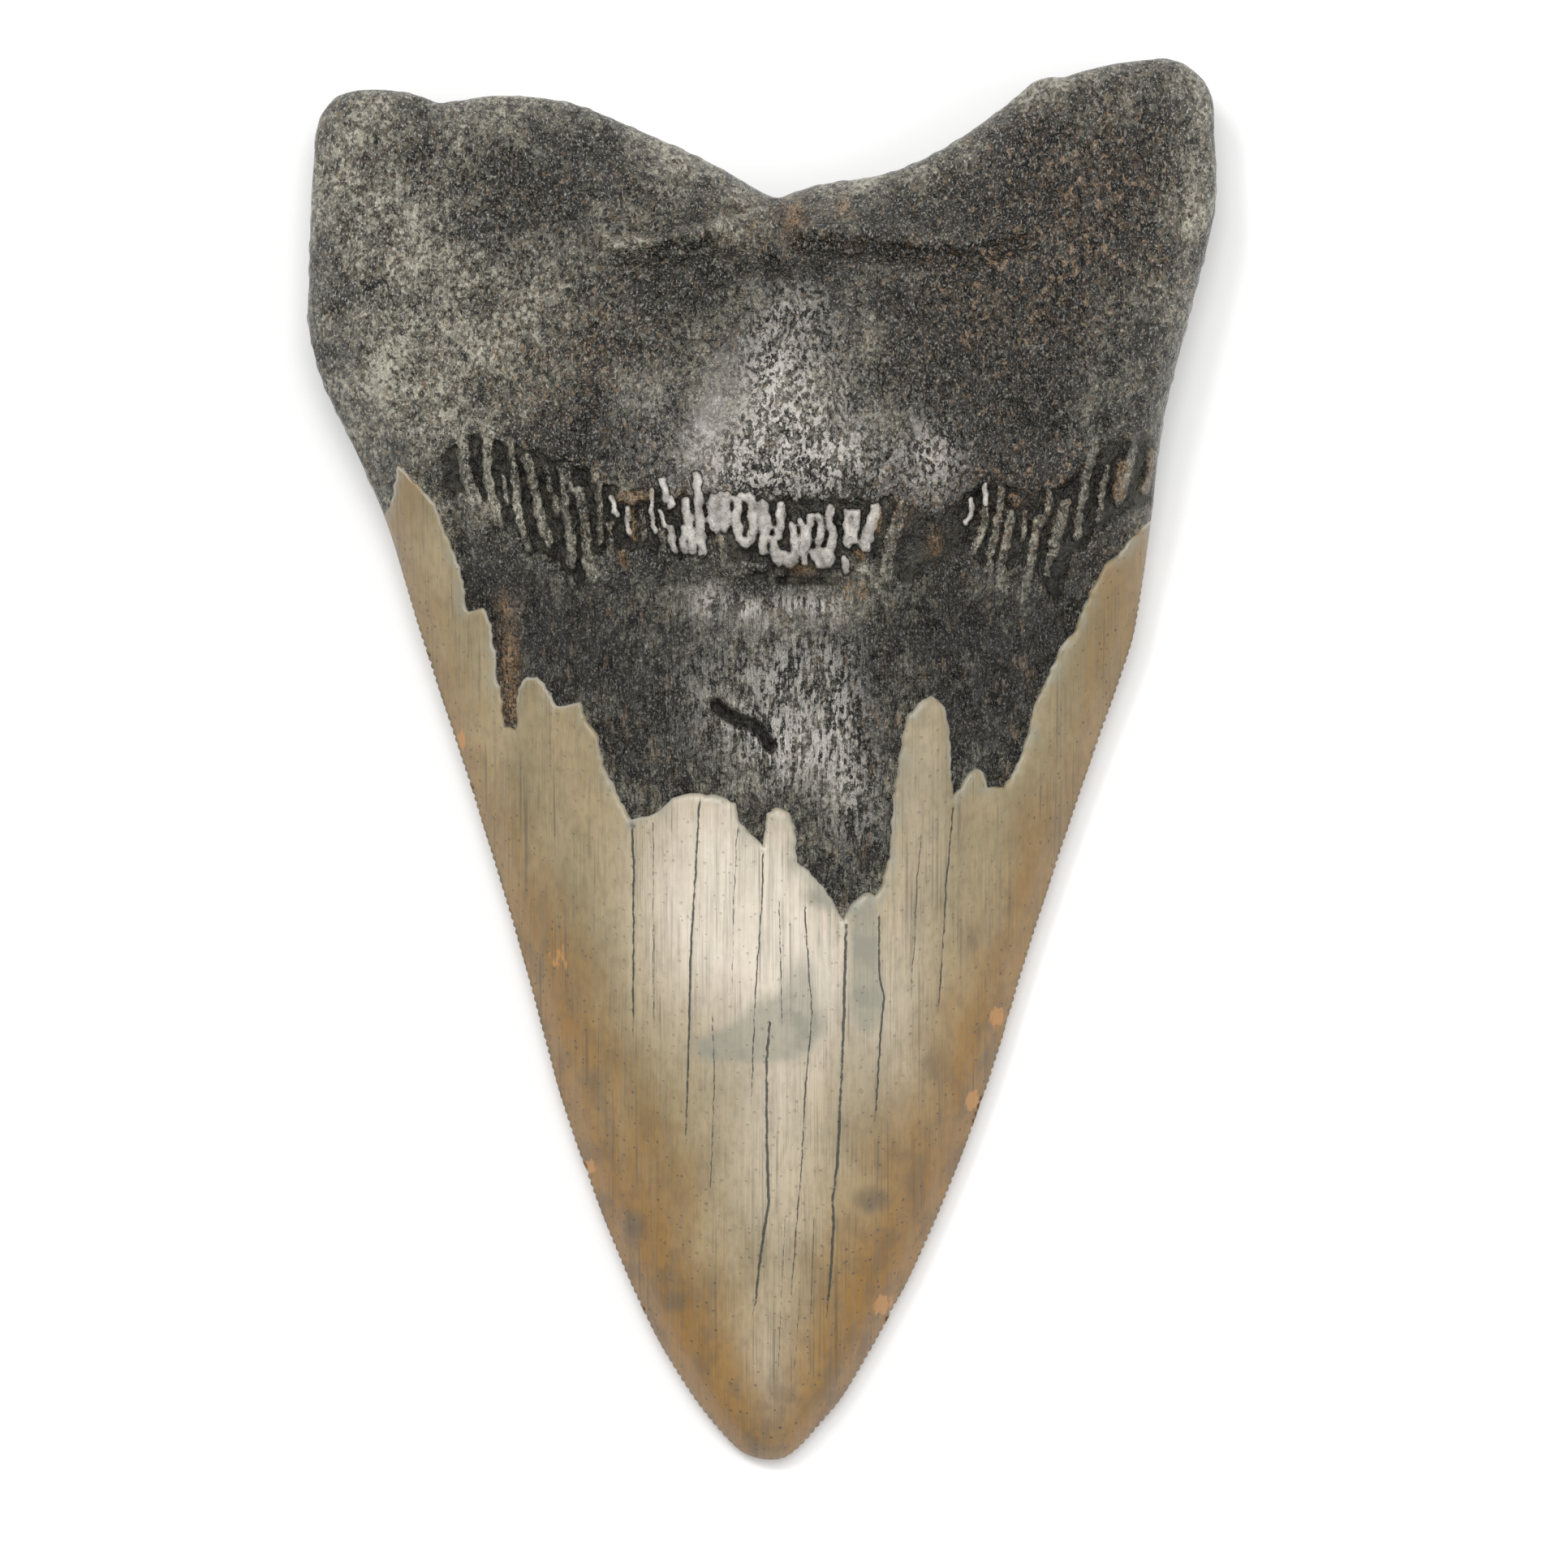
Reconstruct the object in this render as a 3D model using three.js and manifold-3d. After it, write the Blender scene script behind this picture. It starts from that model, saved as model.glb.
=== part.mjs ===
// A large fossil shark tooth, lying on its flat labial face with its domed lingual face up.
// Millimetres, +Z up, +Y from the crown's tip towards the root lobes, origin under the middle of its box.
import * as THREE from "three";
import { mergeVertices } from "three/addons/utils/BufferGeometryUtils.js";
import Module from "manifold-3d";

const wasm = await Module();
wasm.setup();

// Outline seen from above, anticlockwise, in millimetres.
const LEFT_MARGIN = [
  [-42.9, 62.9], [-43.7, 57.5], [-44.1, 46.3], [-44.2, 42.7], [-42.9, 37.2], [-39.4, 29.7], [-36.7, 23.4],
  [-33.4, 12.4], [-28.2, -3.6], [-23.5, -19.1], [-18.9, -35.6], [-12.5, -52.2], [-8.9, -59.2],
];
const TIP_POINT = [0.2, -68.8];
const TIP = [
  [-5.7, -64.0], [-3.5, -66.6], [-1.8, -68.1], TIP_POINT, [2.2, -68.7], [3.8, -67.6], [5.8, -65.4],
];
const RIGHT_MARGIN = [
  [8.2, -62.4], [15.4, -49.3], [21.9, -33.1], [26.7, -17.5], [31.8, -2.0], [36.2, 10.8], [36.9, 13.9],
  [38.2, 23.4], [39.3, 32.9], [42.0, 43.9], [44.4, 54.2], [44.3, 60.5],
];
const ROOT_TOP = [
  [44.1, 64.5], [43.0, 66.6], [40.5, 68.2], [35.8, 68.1], [31.1, 67.1], [29.6, 66.6], [27.1, 66.3],
  [23.9, 63.8], [18.0, 59.7], [12.7, 57.3], [5.0, 55.9], [2.2, 54.9], [1.2, 54.9], [-4.5, 58.0],
  [-11.9, 61.4], [-18.8, 64.1], [-25.9, 64.8], [-31.4, 64.1], [-33.4, 64.8], [-37.2, 65.4], [-40.9, 64.9],
];
const GRID_CORNERS = {
  tipLeft: [-3.5, -66.6],
  tipRight: [5.8, -65.4],
  lobeRight: [44.1, 64.5],
  lobeLeft: [-42.9, 62.9],
};
const OUTLINE_STEPS = 1600;
const TANGENT_STEPS = 4;

// Heights along the tooth, as pairs of y and z.
const RIM_HEIGHT = [[-69, 2.3], [-37, 2.8], [0, 3.8], [19, 5.4], [27, 6.6], [34, 7.4], [50, 8], [70, 7.6]];
const SPINE_HEIGHT = [
  [-69, 3.6], [-60, 6.4], [-45, 9.4], [-25, 12.4], [-5, 15.6], [8, 17.6], [16, 19.4], [24, 23.4], [32, 25],
];

// Crown
const CROWN_TOP = { y: 24, halfWidth: 36.5, taper: 0.375 };
const ENAMEL_FADE = [CROWN_TOP.y - 1, CROWN_TOP.y + 3];
const CROWN_SHOULDER = 0.936;
const LABIAL_SHOULDER = 0.55;
const CROWN_TO_ROOT = [12, 34];
const ENAMEL_THICKNESS = 0.8;
const ENAMEL_OVERHANG = 0.3;
const LABIAL_ENAMEL_SINK = 0.2;
const SERRATION = { pitch: 0.76, depth: 0.2, tipClear: 7, bareSpacing: 2.9 };
const LINGUAL_ENAMEL_LINE = [
  [-36.3, 24.2], [-35.3, 28.7], [-33.4, 26.8], [-31.5, 24.6], [-29.6, 19.8], [-28.6, 14.4], [-26.8, 14.7],
  [-25.7, 9.5], [-25.1, 3.3], [-23.9, 2.9], [-23.7, 6.9], [-21.6, 8.0], [-19.8, 5.0], [-17.5, 5.5],
  [-15.7, 2.1], [-14.9, -1.1], [-12.5, -5.8], [-10.4, -5.4], [-7.9, -3.4], [-2.4, -4.3], [-2.2, -5.9],
  [0.2, -8.3], [0.6, -5.3], [1.7, -4.6], [2.9, -5.3], [3.5, -10.1], [4.7, -10.9], [8.0, -15.7],
  [8.4, -14.4], [11.3, -13.0], [12.5, -9.4], [12.8, -3.9], [14.2, 4.2], [16.6, 6.3], [18.1, 4.7],
  [18.7, -3.5], [20.7, -0.9], [22.1, -2.7], [23.7, -2.7], [25.1, -0.4], [26.8, 5.4], [29.3, 11.1],
  [32.0, 16.2], [34.9, 20.0], [38.2, 23.4],
];
const LABIAL_ENAMEL_LINE = [
  [-36.3, 24.2], [-31, 25.6], [-24, 26.4], [-16, 28.6], [-8, 31.4], [-1, 32.6], [6, 32.0], [13, 29.6],
  [20, 27.2], [28, 25.8], [33, 25.2], [38.2, 23.4],
];
const ENAMEL_SPLIT_Z = 6.5;
const ENAMEL_BLOCK = { top: 60, bottom: -20, reach: 90 };

// Root
const LOBE_HEIGHT = { left: 14.6, right: 15.4, endDrop: 2.4 };
const BULGE = { x: 1, y: 31, height: 7.6, halfWidth: 21, towardsNotch: 17, towardsCrown: 12 };
const BOSS = { x: 1.2, y: 29.5, height: 2.6, halfWidth: 9.5, halfLength: 8.5 };
const ROOT_SHOULDER = 14;
const ROOT_SOLE = {
  shoulder: 11,
  contact: -0.3,
  neckRise: 0.9,
  neckFrom: 36,
  neckTo: 46,
};
const SOLE_HOLLOW = { x: 1, y: 50, height: 2.2, radius: 13 };
const LEFT_BEVEL = { from: 22, to: 45, fadeIn: 4, fadeOut: 5, x: -25, lip: 0.8, slope: 1.1 };
const CREASES = [
  { path: [[4.9, 49.8], [19.9, 48.3], [25.4, 50.4]], halfWidth: 1.7, height: -1.0 },
  { path: [[-13.1, 50.2], [-2.9, 50.2]], halfWidth: 1.9, height: 0.7 },
  { path: [[15.5, 55.5], [28, 57]], halfWidth: 4.2, height: -0.8 },
  { path: [[2.5, 53.5], [3.8, 49.8]], halfWidth: 1.4, height: -0.7 },
];
const CREASE_MARGIN = 4;
const LUMPS = { broadHeight: 0.3, narrowHeight: 0.22 };

// Furrows of the neck, side by side under the bulge, and the slot in the neck band
const FURROW_X = [
  -29.7, -27.0, -25.0, -22.2, -19.9, -17.7, -15.3, -11.7, -9.8, -8.2, -6.6, -5.0, -2.7, -0.6, 1.0, 2.7, 4.3,
  5.8, 7.7, 9.8, 12.0, 14.1, 16.1, 18.3, 20.3, 22.2, 24.0, 25.7, 27.4, 29.4, 31.2, 33.2, 35.3,
];
const FURROW = {
  middleY: 22.2,
  middleSway: 0.5,
  swayTurn: 1.7,
  curve: 0.0052,
  halfLength: 3.0,
  halfWidth: 0.62,
  depth: 0.85,
  lean: 0.2,
  leanFrom: 4,
  leanTo: 14,
  lengthVariation: 0.25,
  depthVariation: 0.3,
  variationTurn: 2.4,
};
const SLOT = { from: [-3.9, 5.0], to: [0.9, 1.7], halfWidth: 0.6, depth: 2.0 };

// Fineness of the surface, in steps across and along
const LINGUAL_GRID = { across: 32, crownRows: 24, rootRows: 28 };
const LABIAL_GRID = { across: 18, crownRows: 14, rootRows: 13 };
const CROWN_SHARE = 0.69;
const RING_INSET = 0.55;
const BARE_RIM_STEPS = 230;
const FURROW_FACETS = { sides: 6, rings: 4 };
const SLOT_FACETS = { sides: 8, rings: 6 };

const clamp = (v, low, high) => Math.min(Math.max(v, low), high);
const mix = (a, b, t) => a + (b - a) * t;
const bell = (x, y, radiusX, radiusY) => Math.exp(-((x / radiusX) ** 2) - (y / radiusY) ** 2);
const quarterRound = (q) => Math.sqrt(1 - (1 - q) ** 2);
const lens = (q) => q * (2 - q);

function smooth(low, high, v) {
  const t = clamp((v - low) / (high - low), 0, 1);
  return t * t * (3 - 2 * t);
}

// A smooth curve through pairs of place and value.
function along(knots, place) {
  const v = clamp(place, knots[0][0], knots[knots.length - 1][0]);
  const last = knots.length - 2;
  const i = Math.min(knots.findIndex((k, n) => n > last || v <= knots[n + 1][0]), last);
  const slope = (n) => {
    const before = knots[Math.max(n - 1, 0)];
    const after = knots[Math.min(n + 1, knots.length - 1)];
    return (after[1] - before[1]) / (after[0] - before[0]);
  };
  const step = knots[i + 1][0] - knots[i][0];
  const t = (v - knots[i][0]) / step;
  const eased = t * t * (3 - 2 * t);
  const bend = step * (slope(i) * t * (1 - t) ** 2 - slope(i + 1) * t * t * (1 - t));
  return mix(knots[i][1], knots[i + 1][1], eased) + bend;
}

// The outline as a dense loop of even steps.
const outlineCurve = new THREE.CatmullRomCurve3(
  [...LEFT_MARGIN, ...TIP, ...RIGHT_MARGIN, ...ROOT_TOP].map(([x, y]) => new THREE.Vector3(x, y, 0)),
  true,
  "centripetal",
);
outlineCurve.arcLengthDivisions = 4 * OUTLINE_STEPS;
const outlineLength = outlineCurve.getLength();
const outline = outlineCurve.getSpacedPoints(OUTLINE_STEPS).slice(0, OUTLINE_STEPS);

function marginDistance(x, y) {
  let nearest = Infinity;
  for (const p of outline) nearest = Math.min(nearest, (p.x - x) ** 2 + (p.y - y) ** 2);
  return Math.sqrt(nearest);
}

// The outline's point at a share of its length, moved inwards.
function outlinePoint(share, inset = 0) {
  const place = (((share % 1) + 1) % 1) * OUTLINE_STEPS;
  const i = Math.floor(place) % OUTLINE_STEPS;
  const a = outline[i];
  const b = outline[(i + 1) % OUTLINE_STEPS];
  const before = outline[(i + OUTLINE_STEPS - TANGENT_STEPS) % OUTLINE_STEPS];
  const after = outline[(i + 1 + TANGENT_STEPS) % OUTLINE_STEPS];
  const tangent = new THREE.Vector2(after.x - before.x, after.y - before.y).normalize();
  const part = place - Math.floor(place);
  return [mix(a.x, b.x, part) - tangent.y * inset, mix(a.y, b.y, part) + tangent.x * inset];
}

function shareNearest([x, y]) {
  const distances = outline.map((p) => (p.x - x) ** 2 + (p.y - y) ** 2);
  return distances.indexOf(Math.min(...distances)) / OUTLINE_STEPS;
}

function pathDistance(path, x, y) {
  let nearest = Infinity;
  for (let i = 0; i + 1 < path.length; i += 1) {
    const [ax, ay] = path[i];
    const [dx, dy] = [path[i + 1][0] - ax, path[i + 1][1] - ay];
    const t = clamp(((x - ax) * dx + (y - ay) * dy) / (dx * dx + dy * dy), 0, 1);
    nearest = Math.min(nearest, Math.hypot(x - ax - t * dx, y - ay - t * dy));
  }
  return nearest;
}

const rimHeight = (y) => along(RIM_HEIGHT, y);
const crownHalfWidth = (y) => CROWN_TOP.halfWidth - CROWN_TOP.taper * Math.max(CROWN_TOP.y - y, 0);
const rootShare = (y) => smooth(...CROWN_TO_ROOT, y);

// Low irregular waves over the root.
function rootLumps(x, y) {
  const broad = Math.sin(0.31 * x + 0.22 * y) * Math.sin(0.17 * x - 0.36 * y);
  const narrow = Math.sin(0.55 * x + 1.3) * Math.sin(0.47 * y);
  return LUMPS.broadHeight * broad + LUMPS.narrowHeight * narrow;
}

function rootHeight(x, y) {
  const bulgeY = y > BULGE.y ? BULGE.towardsNotch : BULGE.towardsCrown;
  const lobes = mix(LOBE_HEIGHT.left, LOBE_HEIGHT.right, smooth(-20, 20, x));
  const endDrop = LOBE_HEIGHT.endDrop * smooth(40, 68, y);
  const bulge = BULGE.height * bell(x - BULGE.x, y - BULGE.y, BULGE.halfWidth, bulgeY);
  const boss = BOSS.height * bell(x - BOSS.x, y - BOSS.y, BOSS.halfWidth, BOSS.halfLength);
  return lobes - endDrop + bulge + boss + rootLumps(x, y);
}

// Height of the bare lingual face, without enamel.
function lingualHeight(x, y) {
  const depth = marginDistance(x, y);
  const rim = rimHeight(y);
  const crownDepth = depth / (CROWN_SHOULDER * crownHalfWidth(y));
  const crown = (along(SPINE_HEIGHT, y) - rim) * lens(Math.min(crownDepth, 1));
  const root = (rootHeight(x, y) - rim) * quarterRound(Math.min(depth / ROOT_SHOULDER, 1));
  let z = rim + mix(crown, root, rootShare(y));
  for (const crease of CREASES) {
    const across = pathDistance(crease.path, x, y) / crease.halfWidth;
    z += crease.height * Math.exp(-across * across) * smooth(0, CREASE_MARGIN, depth);
  }
  if (x < LEFT_BEVEL.x) {
    const bevel = rim + LEFT_BEVEL.lip + LEFT_BEVEL.slope * depth;
    const starts = smooth(LEFT_BEVEL.from, LEFT_BEVEL.from + LEFT_BEVEL.fadeIn, y);
    const ends = smooth(LEFT_BEVEL.to - LEFT_BEVEL.fadeOut, LEFT_BEVEL.to, y);
    z = mix(z, Math.min(z, bevel), starts * (1 - ends));
  }
  return z;
}

// Height of the bare labial face, flat in the middle of the crown and under the lobes.
function labialHeight(x, y) {
  const depth = marginDistance(x, y);
  const rim = rimHeight(y);
  const crownSole = ENAMEL_THICKNESS - LABIAL_ENAMEL_SINK;
  const crown = mix(rim, crownSole, lens(Math.min(depth / (LABIAL_SHOULDER * crownHalfWidth(y)), 1)));
  const { radius } = SOLE_HOLLOW;
  const hollow = SOLE_HOLLOW.height * bell(x - SOLE_HOLLOW.x, y - SOLE_HOLLOW.y, radius, radius);
  const neckRise = ROOT_SOLE.neckRise * (1 - smooth(ROOT_SOLE.neckFrom, ROOT_SOLE.neckTo, y));
  const sole = ROOT_SOLE.contact + neckRise + hollow;
  const root = mix(rim, sole, quarterRound(Math.min(depth / ROOT_SOLE.shoulder, 1)));
  return mix(crown, root, rootShare(y));
}

// A grid between four stretches of the outline, whose edge is a loop just inside the margin.
function innerGrid({ across, crownRows, rootRows }, inset) {
  const rows = crownRows + rootRows;
  const corner = Object.fromEntries(
    Object.entries(GRID_CORNERS).map(([name, point]) => [name, shareNearest(point)]),
  );
  const upTo = (from, to) => (to < from ? to + 1 : to);
  const tipRight = upTo(corner.tipLeft, corner.tipRight);
  const lobeRight = upTo(tipRight, corner.lobeRight);
  const lobeLeft = upTo(lobeRight, corner.lobeLeft);
  const tipLeft = corner.tipLeft + 1;
  const columnShare = (i) => mix(i / across, 0.5 - 0.5 * Math.cos((Math.PI * i) / across), 0.5);
  const rowShare = (j) =>
    j < crownRows
      ? (CROWN_SHARE * j) / crownRows
      : mix(CROWN_SHARE, 1, (j - crownRows) / rootRows);
  const tip = (s) => mix(corner.tipLeft, tipRight, s);
  const right = (t) => mix(tipRight, lobeRight, t);
  const top = (s) => mix(lobeLeft, lobeRight, s);
  const left = (t) => mix(tipLeft, lobeLeft, t);
  const at = (share) => outlinePoint(share, inset(share));
  const points = [];
  for (let j = 0; j <= rows; j += 1) {
    for (let i = 0; i <= across; i += 1) {
      const s = columnShare(i);
      const t = rowShare(j);
      const [low, high, west, east] = [at(tip(s)), at(top(s)), at(left(t)), at(right(t))];
      const corners = [at(tip(0)), at(tip(1)), at(top(0)), at(top(1))];
      points.push([0, 1].map((axis) => {
        const sides = mix(low[axis], high[axis], t) + mix(west[axis], east[axis], s);
        const [a, b, c, d] = corners.map((p) => p[axis]);
        return sides - mix(mix(a, b, s), mix(c, d, s), t);
      }));
    }
  }
  const index = (i, j) => j * (across + 1) + i;
  const ring = [];
  for (let i = 0; i < across; i += 1) ring.push({ index: index(i, 0), share: tip(columnShare(i)) });
  for (let j = 0; j < rows; j += 1) ring.push({ index: index(across, j), share: right(rowShare(j)) });
  for (let i = across; i > 0; i -= 1) ring.push({ index: index(i, rows), share: top(columnShare(i)) });
  for (let j = rows; j > 0; j -= 1) ring.push({ index: index(0, j), share: left(rowShare(j)) });
  const cells = [];
  for (let j = 0; j < rows; j += 1) {
    for (let i = 0; i < across; i += 1) {
      const [a, b, c, d] = [index(i, j), index(i + 1, j), index(i + 1, j + 1), index(i, j + 1)];
      const rising = (i < across / 2) === (j < rows / 2);
      cells.push(...(rising ? [[a, b, c], [a, c, d]] : [[a, b, d], [b, c, d]]));
    }
  }
  return { points, ring, cells };
}

// Triangles between two closed loops whose points are ordered by their share of the outline.
function zipLoops(outer, inner) {
  const start = inner[0].share;
  const past = (share) => (((share - start) % 1) + 1) % 1;
  const ordered = [...outer].sort((a, b) => past(a.share) - past(b.share));
  const triangles = [];
  let o = 0;
  let i = 0;
  const outerShare = (n) => (n < ordered.length ? past(ordered[n].share) : 1 + past(ordered[0].share));
  const innerShare = (n) => (n < inner.length ? past(inner[n].share) : 1);
  while (o < ordered.length || i < inner.length) {
    const a = ordered[o % ordered.length].index;
    const b = inner[i % inner.length].index;
    if (i >= inner.length || (o < ordered.length && outerShare(o + 1) <= innerShare(i + 1))) {
      o += 1;
      triangles.push([a, ordered[o % ordered.length].index, b]);
    } else {
      i += 1;
      triangles.push([a, inner[i % inner.length].index, b]);
    }
  }
  return triangles;
}

// Shares of the outline where the crown's cutting edges start and end.
const leftCrownShare = shareNearest(LINGUAL_ENAMEL_LINE[0]);
const rightCrownShare = shareNearest(LINGUAL_ENAMEL_LINE[LINGUAL_ENAMEL_LINE.length - 1]);
const tipShare = shareNearest(TIP_POINT);
const onCrown = (share) => {
  const s = ((share % 1) + 1) % 1;
  return s > leftCrownShare && s < rightCrownShare;
};

// The enamelled rim, with a pair of points for each serration of the two cutting edges.
function serratedRim() {
  const rim = [];
  const step = SERRATION.pitch / outlineLength;
  const clear = SERRATION.tipClear / outlineLength;
  for (let share = 0; share < 1; share += onCrown(share) ? step : SERRATION.bareSpacing * step) {
    const cutting = onCrown(share) && Math.abs(share - tipShare) > clear;
    rim.push({ share, inset: 0 });
    if (cutting) rim.push({ share: share + 0.5 * step, inset: SERRATION.depth });
  }
  return rim;
}

const crownInset = (share) => {
  const y = outlinePoint(share)[1];
  return ENAMEL_OVERHANG * (1 - smooth(...ENAMEL_FADE, y));
};

function bareRim() {
  return Array.from({ length: BARE_RIM_STEPS }, (_, n) => n / BARE_RIM_STEPS).map((share) => ({
    share,
    inset: crownInset(share),
  }));
}

// A closed body between a lingual and a labial surface that meet at the rim.
function shell(rim, upperZ, lowerZ, ringInset) {
  const vertices = [];
  const triangles = [];
  const add = (x, y, z) => vertices.push([x, y, z]) - 1;
  const rimLoop = rim.map(({ share, inset }) => {
    const [x, y] = outlinePoint(share, inset);
    return { share, index: add(x, y, rimHeight(y)) };
  });
  for (const [grid, heightAt, faceUp] of [[LINGUAL_GRID, upperZ, true], [LABIAL_GRID, lowerZ, false]]) {
    const { points, ring, cells } = innerGrid(grid, ringInset);
    const first = vertices.length;
    for (const [x, y] of points) add(x, y, heightAt(x, y));
    const innerLoop = ring.map(({ share, index }) => ({ share, index: index + first }));
    const faces = [
      ...cells.map((cell) => cell.map((n) => n + first)),
      ...zipLoops(rimLoop, innerLoop),
    ];
    for (const [a, b, c] of faces) triangles.push(faceUp ? [a, b, c] : [a, c, b]);
  }
  return solidFrom(vertices.flat(), triangles.flat());
}

function solidFrom(positions, indices) {
  return new wasm.Manifold(new wasm.Mesh({
    numProp: 3,
    vertProperties: new Float32Array(positions),
    triVerts: new Uint32Array(indices),
  }));
}

function solidFromGeometry(geometry) {
  for (const name of ["normal", "uv"]) geometry.deleteAttribute(name);
  const merged = mergeVertices(geometry);
  return solidFrom(merged.attributes.position.array, merged.index.array);
}

// An upright block with the crown's side of an enamel line as its plan.
function crownBlock(line, bottom, top) {
  const { reach } = ENAMEL_BLOCK;
  const plan = new THREE.Shape([
    ...line.map(([x, y]) => new THREE.Vector2(x, y)),
    new THREE.Vector2(reach, line[line.length - 1][1]),
    new THREE.Vector2(reach, -reach),
    new THREE.Vector2(-reach, -reach),
    new THREE.Vector2(-reach, line[0][1]),
  ]);
  const geometry = new THREE.ExtrudeGeometry(plan, { depth: top - bottom, bevelEnabled: false });
  geometry.translate(0, 0, bottom);
  return solidFromGeometry(geometry);
}

// A long rounded cutter lying in the lingual face between two points of its plan.
function trough([ax, ay], [bx, by], halfWidth, depth, { sides, rings }) {
  const a = new THREE.Vector3(ax, ay, lingualHeight(ax, ay));
  const b = new THREE.Vector3(bx, by, lingualHeight(bx, by));
  const length = new THREE.Vector3().subVectors(b, a).multiplyScalar(0.5);
  const across = new THREE.Vector3(0, 0, 1).cross(length).normalize();
  const down = new THREE.Vector3().crossVectors(length, across).normalize();
  const geometry = new THREE.SphereGeometry(1, sides, rings);
  across.multiplyScalar(halfWidth);
  down.multiplyScalar(depth);
  const frame = new THREE.Matrix4().makeBasis(across, length, down);
  if (frame.determinant() < 0) frame.scale(new THREE.Vector3(-1, 1, 1));
  frame.setPosition(a.add(b).multiplyScalar(0.5));
  geometry.applyMatrix4(frame);
  return solidFromGeometry(geometry);
}

function furrows() {
  return FURROW_X.map((x, n) => {
    const vary = Math.sin(FURROW.variationTurn * n);
    const half = FURROW.halfLength * (1 + FURROW.lengthVariation * vary);
    const sway = FURROW.middleSway * Math.sin(FURROW.swayTurn * n);
    const middle = FURROW.middleY + FURROW.curve * x * x + sway;
    const lean = FURROW.lean * half * smooth(FURROW.leanFrom, FURROW.leanTo, Math.abs(x)) * Math.sign(x);
    const depth = FURROW.depth * (1 + FURROW.depthVariation * vary);
    const from = [x + lean, middle + half];
    const to = [x - lean, middle - half];
    return trough(from, to, FURROW.halfWidth, depth, FURROW_FACETS);
  });
}

function toothGeometry() {
  const bare = shell(
    bareRim(),
    lingualHeight,
    (x, y) => Math.max(labialHeight(x, y), 0),
    (share) => RING_INSET + crownInset(share),
  );
  const enamelled = shell(
    serratedRim(),
    (x, y) => lingualHeight(x, y) + ENAMEL_THICKNESS,
    (x, y) => Math.max(labialHeight(x, y) - ENAMEL_THICKNESS, 0),
    () => RING_INSET,
  );
  const lingualBlock = crownBlock(LINGUAL_ENAMEL_LINE, ENAMEL_SPLIT_Z, ENAMEL_BLOCK.top);
  const labialBlock = crownBlock(LABIAL_ENAMEL_LINE, ENAMEL_BLOCK.bottom, ENAMEL_SPLIT_Z);
  const crown = enamelled.intersect(lingualBlock.add(labialBlock));
  let tooth = bare;
  for (const cutter of furrows()) tooth = tooth.subtract(cutter);
  tooth = tooth.subtract(trough(SLOT.from, SLOT.to, SLOT.halfWidth, SLOT.depth, SLOT_FACETS));
  tooth = tooth.add(crown);
  const { vertProperties, triVerts } = tooth.getMesh();
  const geometry = new THREE.BufferGeometry();
  geometry.setAttribute("position", new THREE.BufferAttribute(vertProperties, 3));
  geometry.setIndex(new THREE.BufferAttribute(triVerts, 1));
  geometry.computeVertexNormals();
  return geometry;
}

const fossil = new THREE.MeshStandardMaterial({ color: 0x8c8470, roughness: 0.5, metalness: 0 });
const tooth = new THREE.Mesh(toothGeometry(), fossil);
tooth.name = "tooth";
tooth.geometry.computeBoundingBox();
const middle = tooth.geometry.boundingBox.getCenter(new THREE.Vector3());
tooth.position.set(-middle.x, -middle.y, 0);

const object = new THREE.Group();
object.add(tooth);

export default object;
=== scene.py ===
import bpy
import numpy as np
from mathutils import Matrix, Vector
from mathutils.geometry import delaunay_2d_cdt
from mathutils.kdtree import KDTree


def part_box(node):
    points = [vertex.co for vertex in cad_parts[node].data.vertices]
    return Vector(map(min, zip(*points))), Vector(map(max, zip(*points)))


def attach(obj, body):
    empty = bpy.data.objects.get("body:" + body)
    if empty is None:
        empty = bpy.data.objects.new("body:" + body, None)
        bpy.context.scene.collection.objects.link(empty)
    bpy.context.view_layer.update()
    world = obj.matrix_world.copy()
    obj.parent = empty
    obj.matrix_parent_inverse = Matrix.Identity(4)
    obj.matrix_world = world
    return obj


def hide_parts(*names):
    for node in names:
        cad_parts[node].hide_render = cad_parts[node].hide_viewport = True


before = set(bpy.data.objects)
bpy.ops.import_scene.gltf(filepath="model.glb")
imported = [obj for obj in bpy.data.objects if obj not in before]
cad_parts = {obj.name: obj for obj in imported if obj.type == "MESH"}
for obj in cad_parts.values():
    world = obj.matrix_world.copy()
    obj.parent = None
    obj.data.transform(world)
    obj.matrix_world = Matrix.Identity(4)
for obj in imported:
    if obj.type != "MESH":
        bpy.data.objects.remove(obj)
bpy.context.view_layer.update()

# Lengths of the tooth are millimetres, with +Y from the crown's tip towards the root lobes.
MM = 0.001
SEED = 11

# Outline of the tooth seen from above, anticlockwise.
LEFT_MARGIN = [
    (-42.9, 62.9), (-43.7, 57.5), (-44.1, 46.3), (-44.2, 42.7), (-42.9, 37.2), (-39.4, 29.7), (-36.7, 23.4),
    (-33.4, 12.4), (-28.2, -3.6), (-23.5, -19.1), (-18.9, -35.6), (-12.5, -52.2), (-8.9, -59.2),
]
TIP = [(-5.7, -64.0), (-3.5, -66.6), (-1.8, -68.1), (0.2, -68.8), (2.2, -68.7), (3.8, -67.6), (5.8, -65.4)]
RIGHT_MARGIN = [
    (8.2, -62.4), (15.4, -49.3), (21.9, -33.1), (26.7, -17.5), (31.8, -2.0), (36.2, 10.8), (36.9, 13.9),
    (38.2, 23.4), (39.3, 32.9), (42.0, 43.9), (44.4, 54.2), (44.3, 60.5),
]
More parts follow.
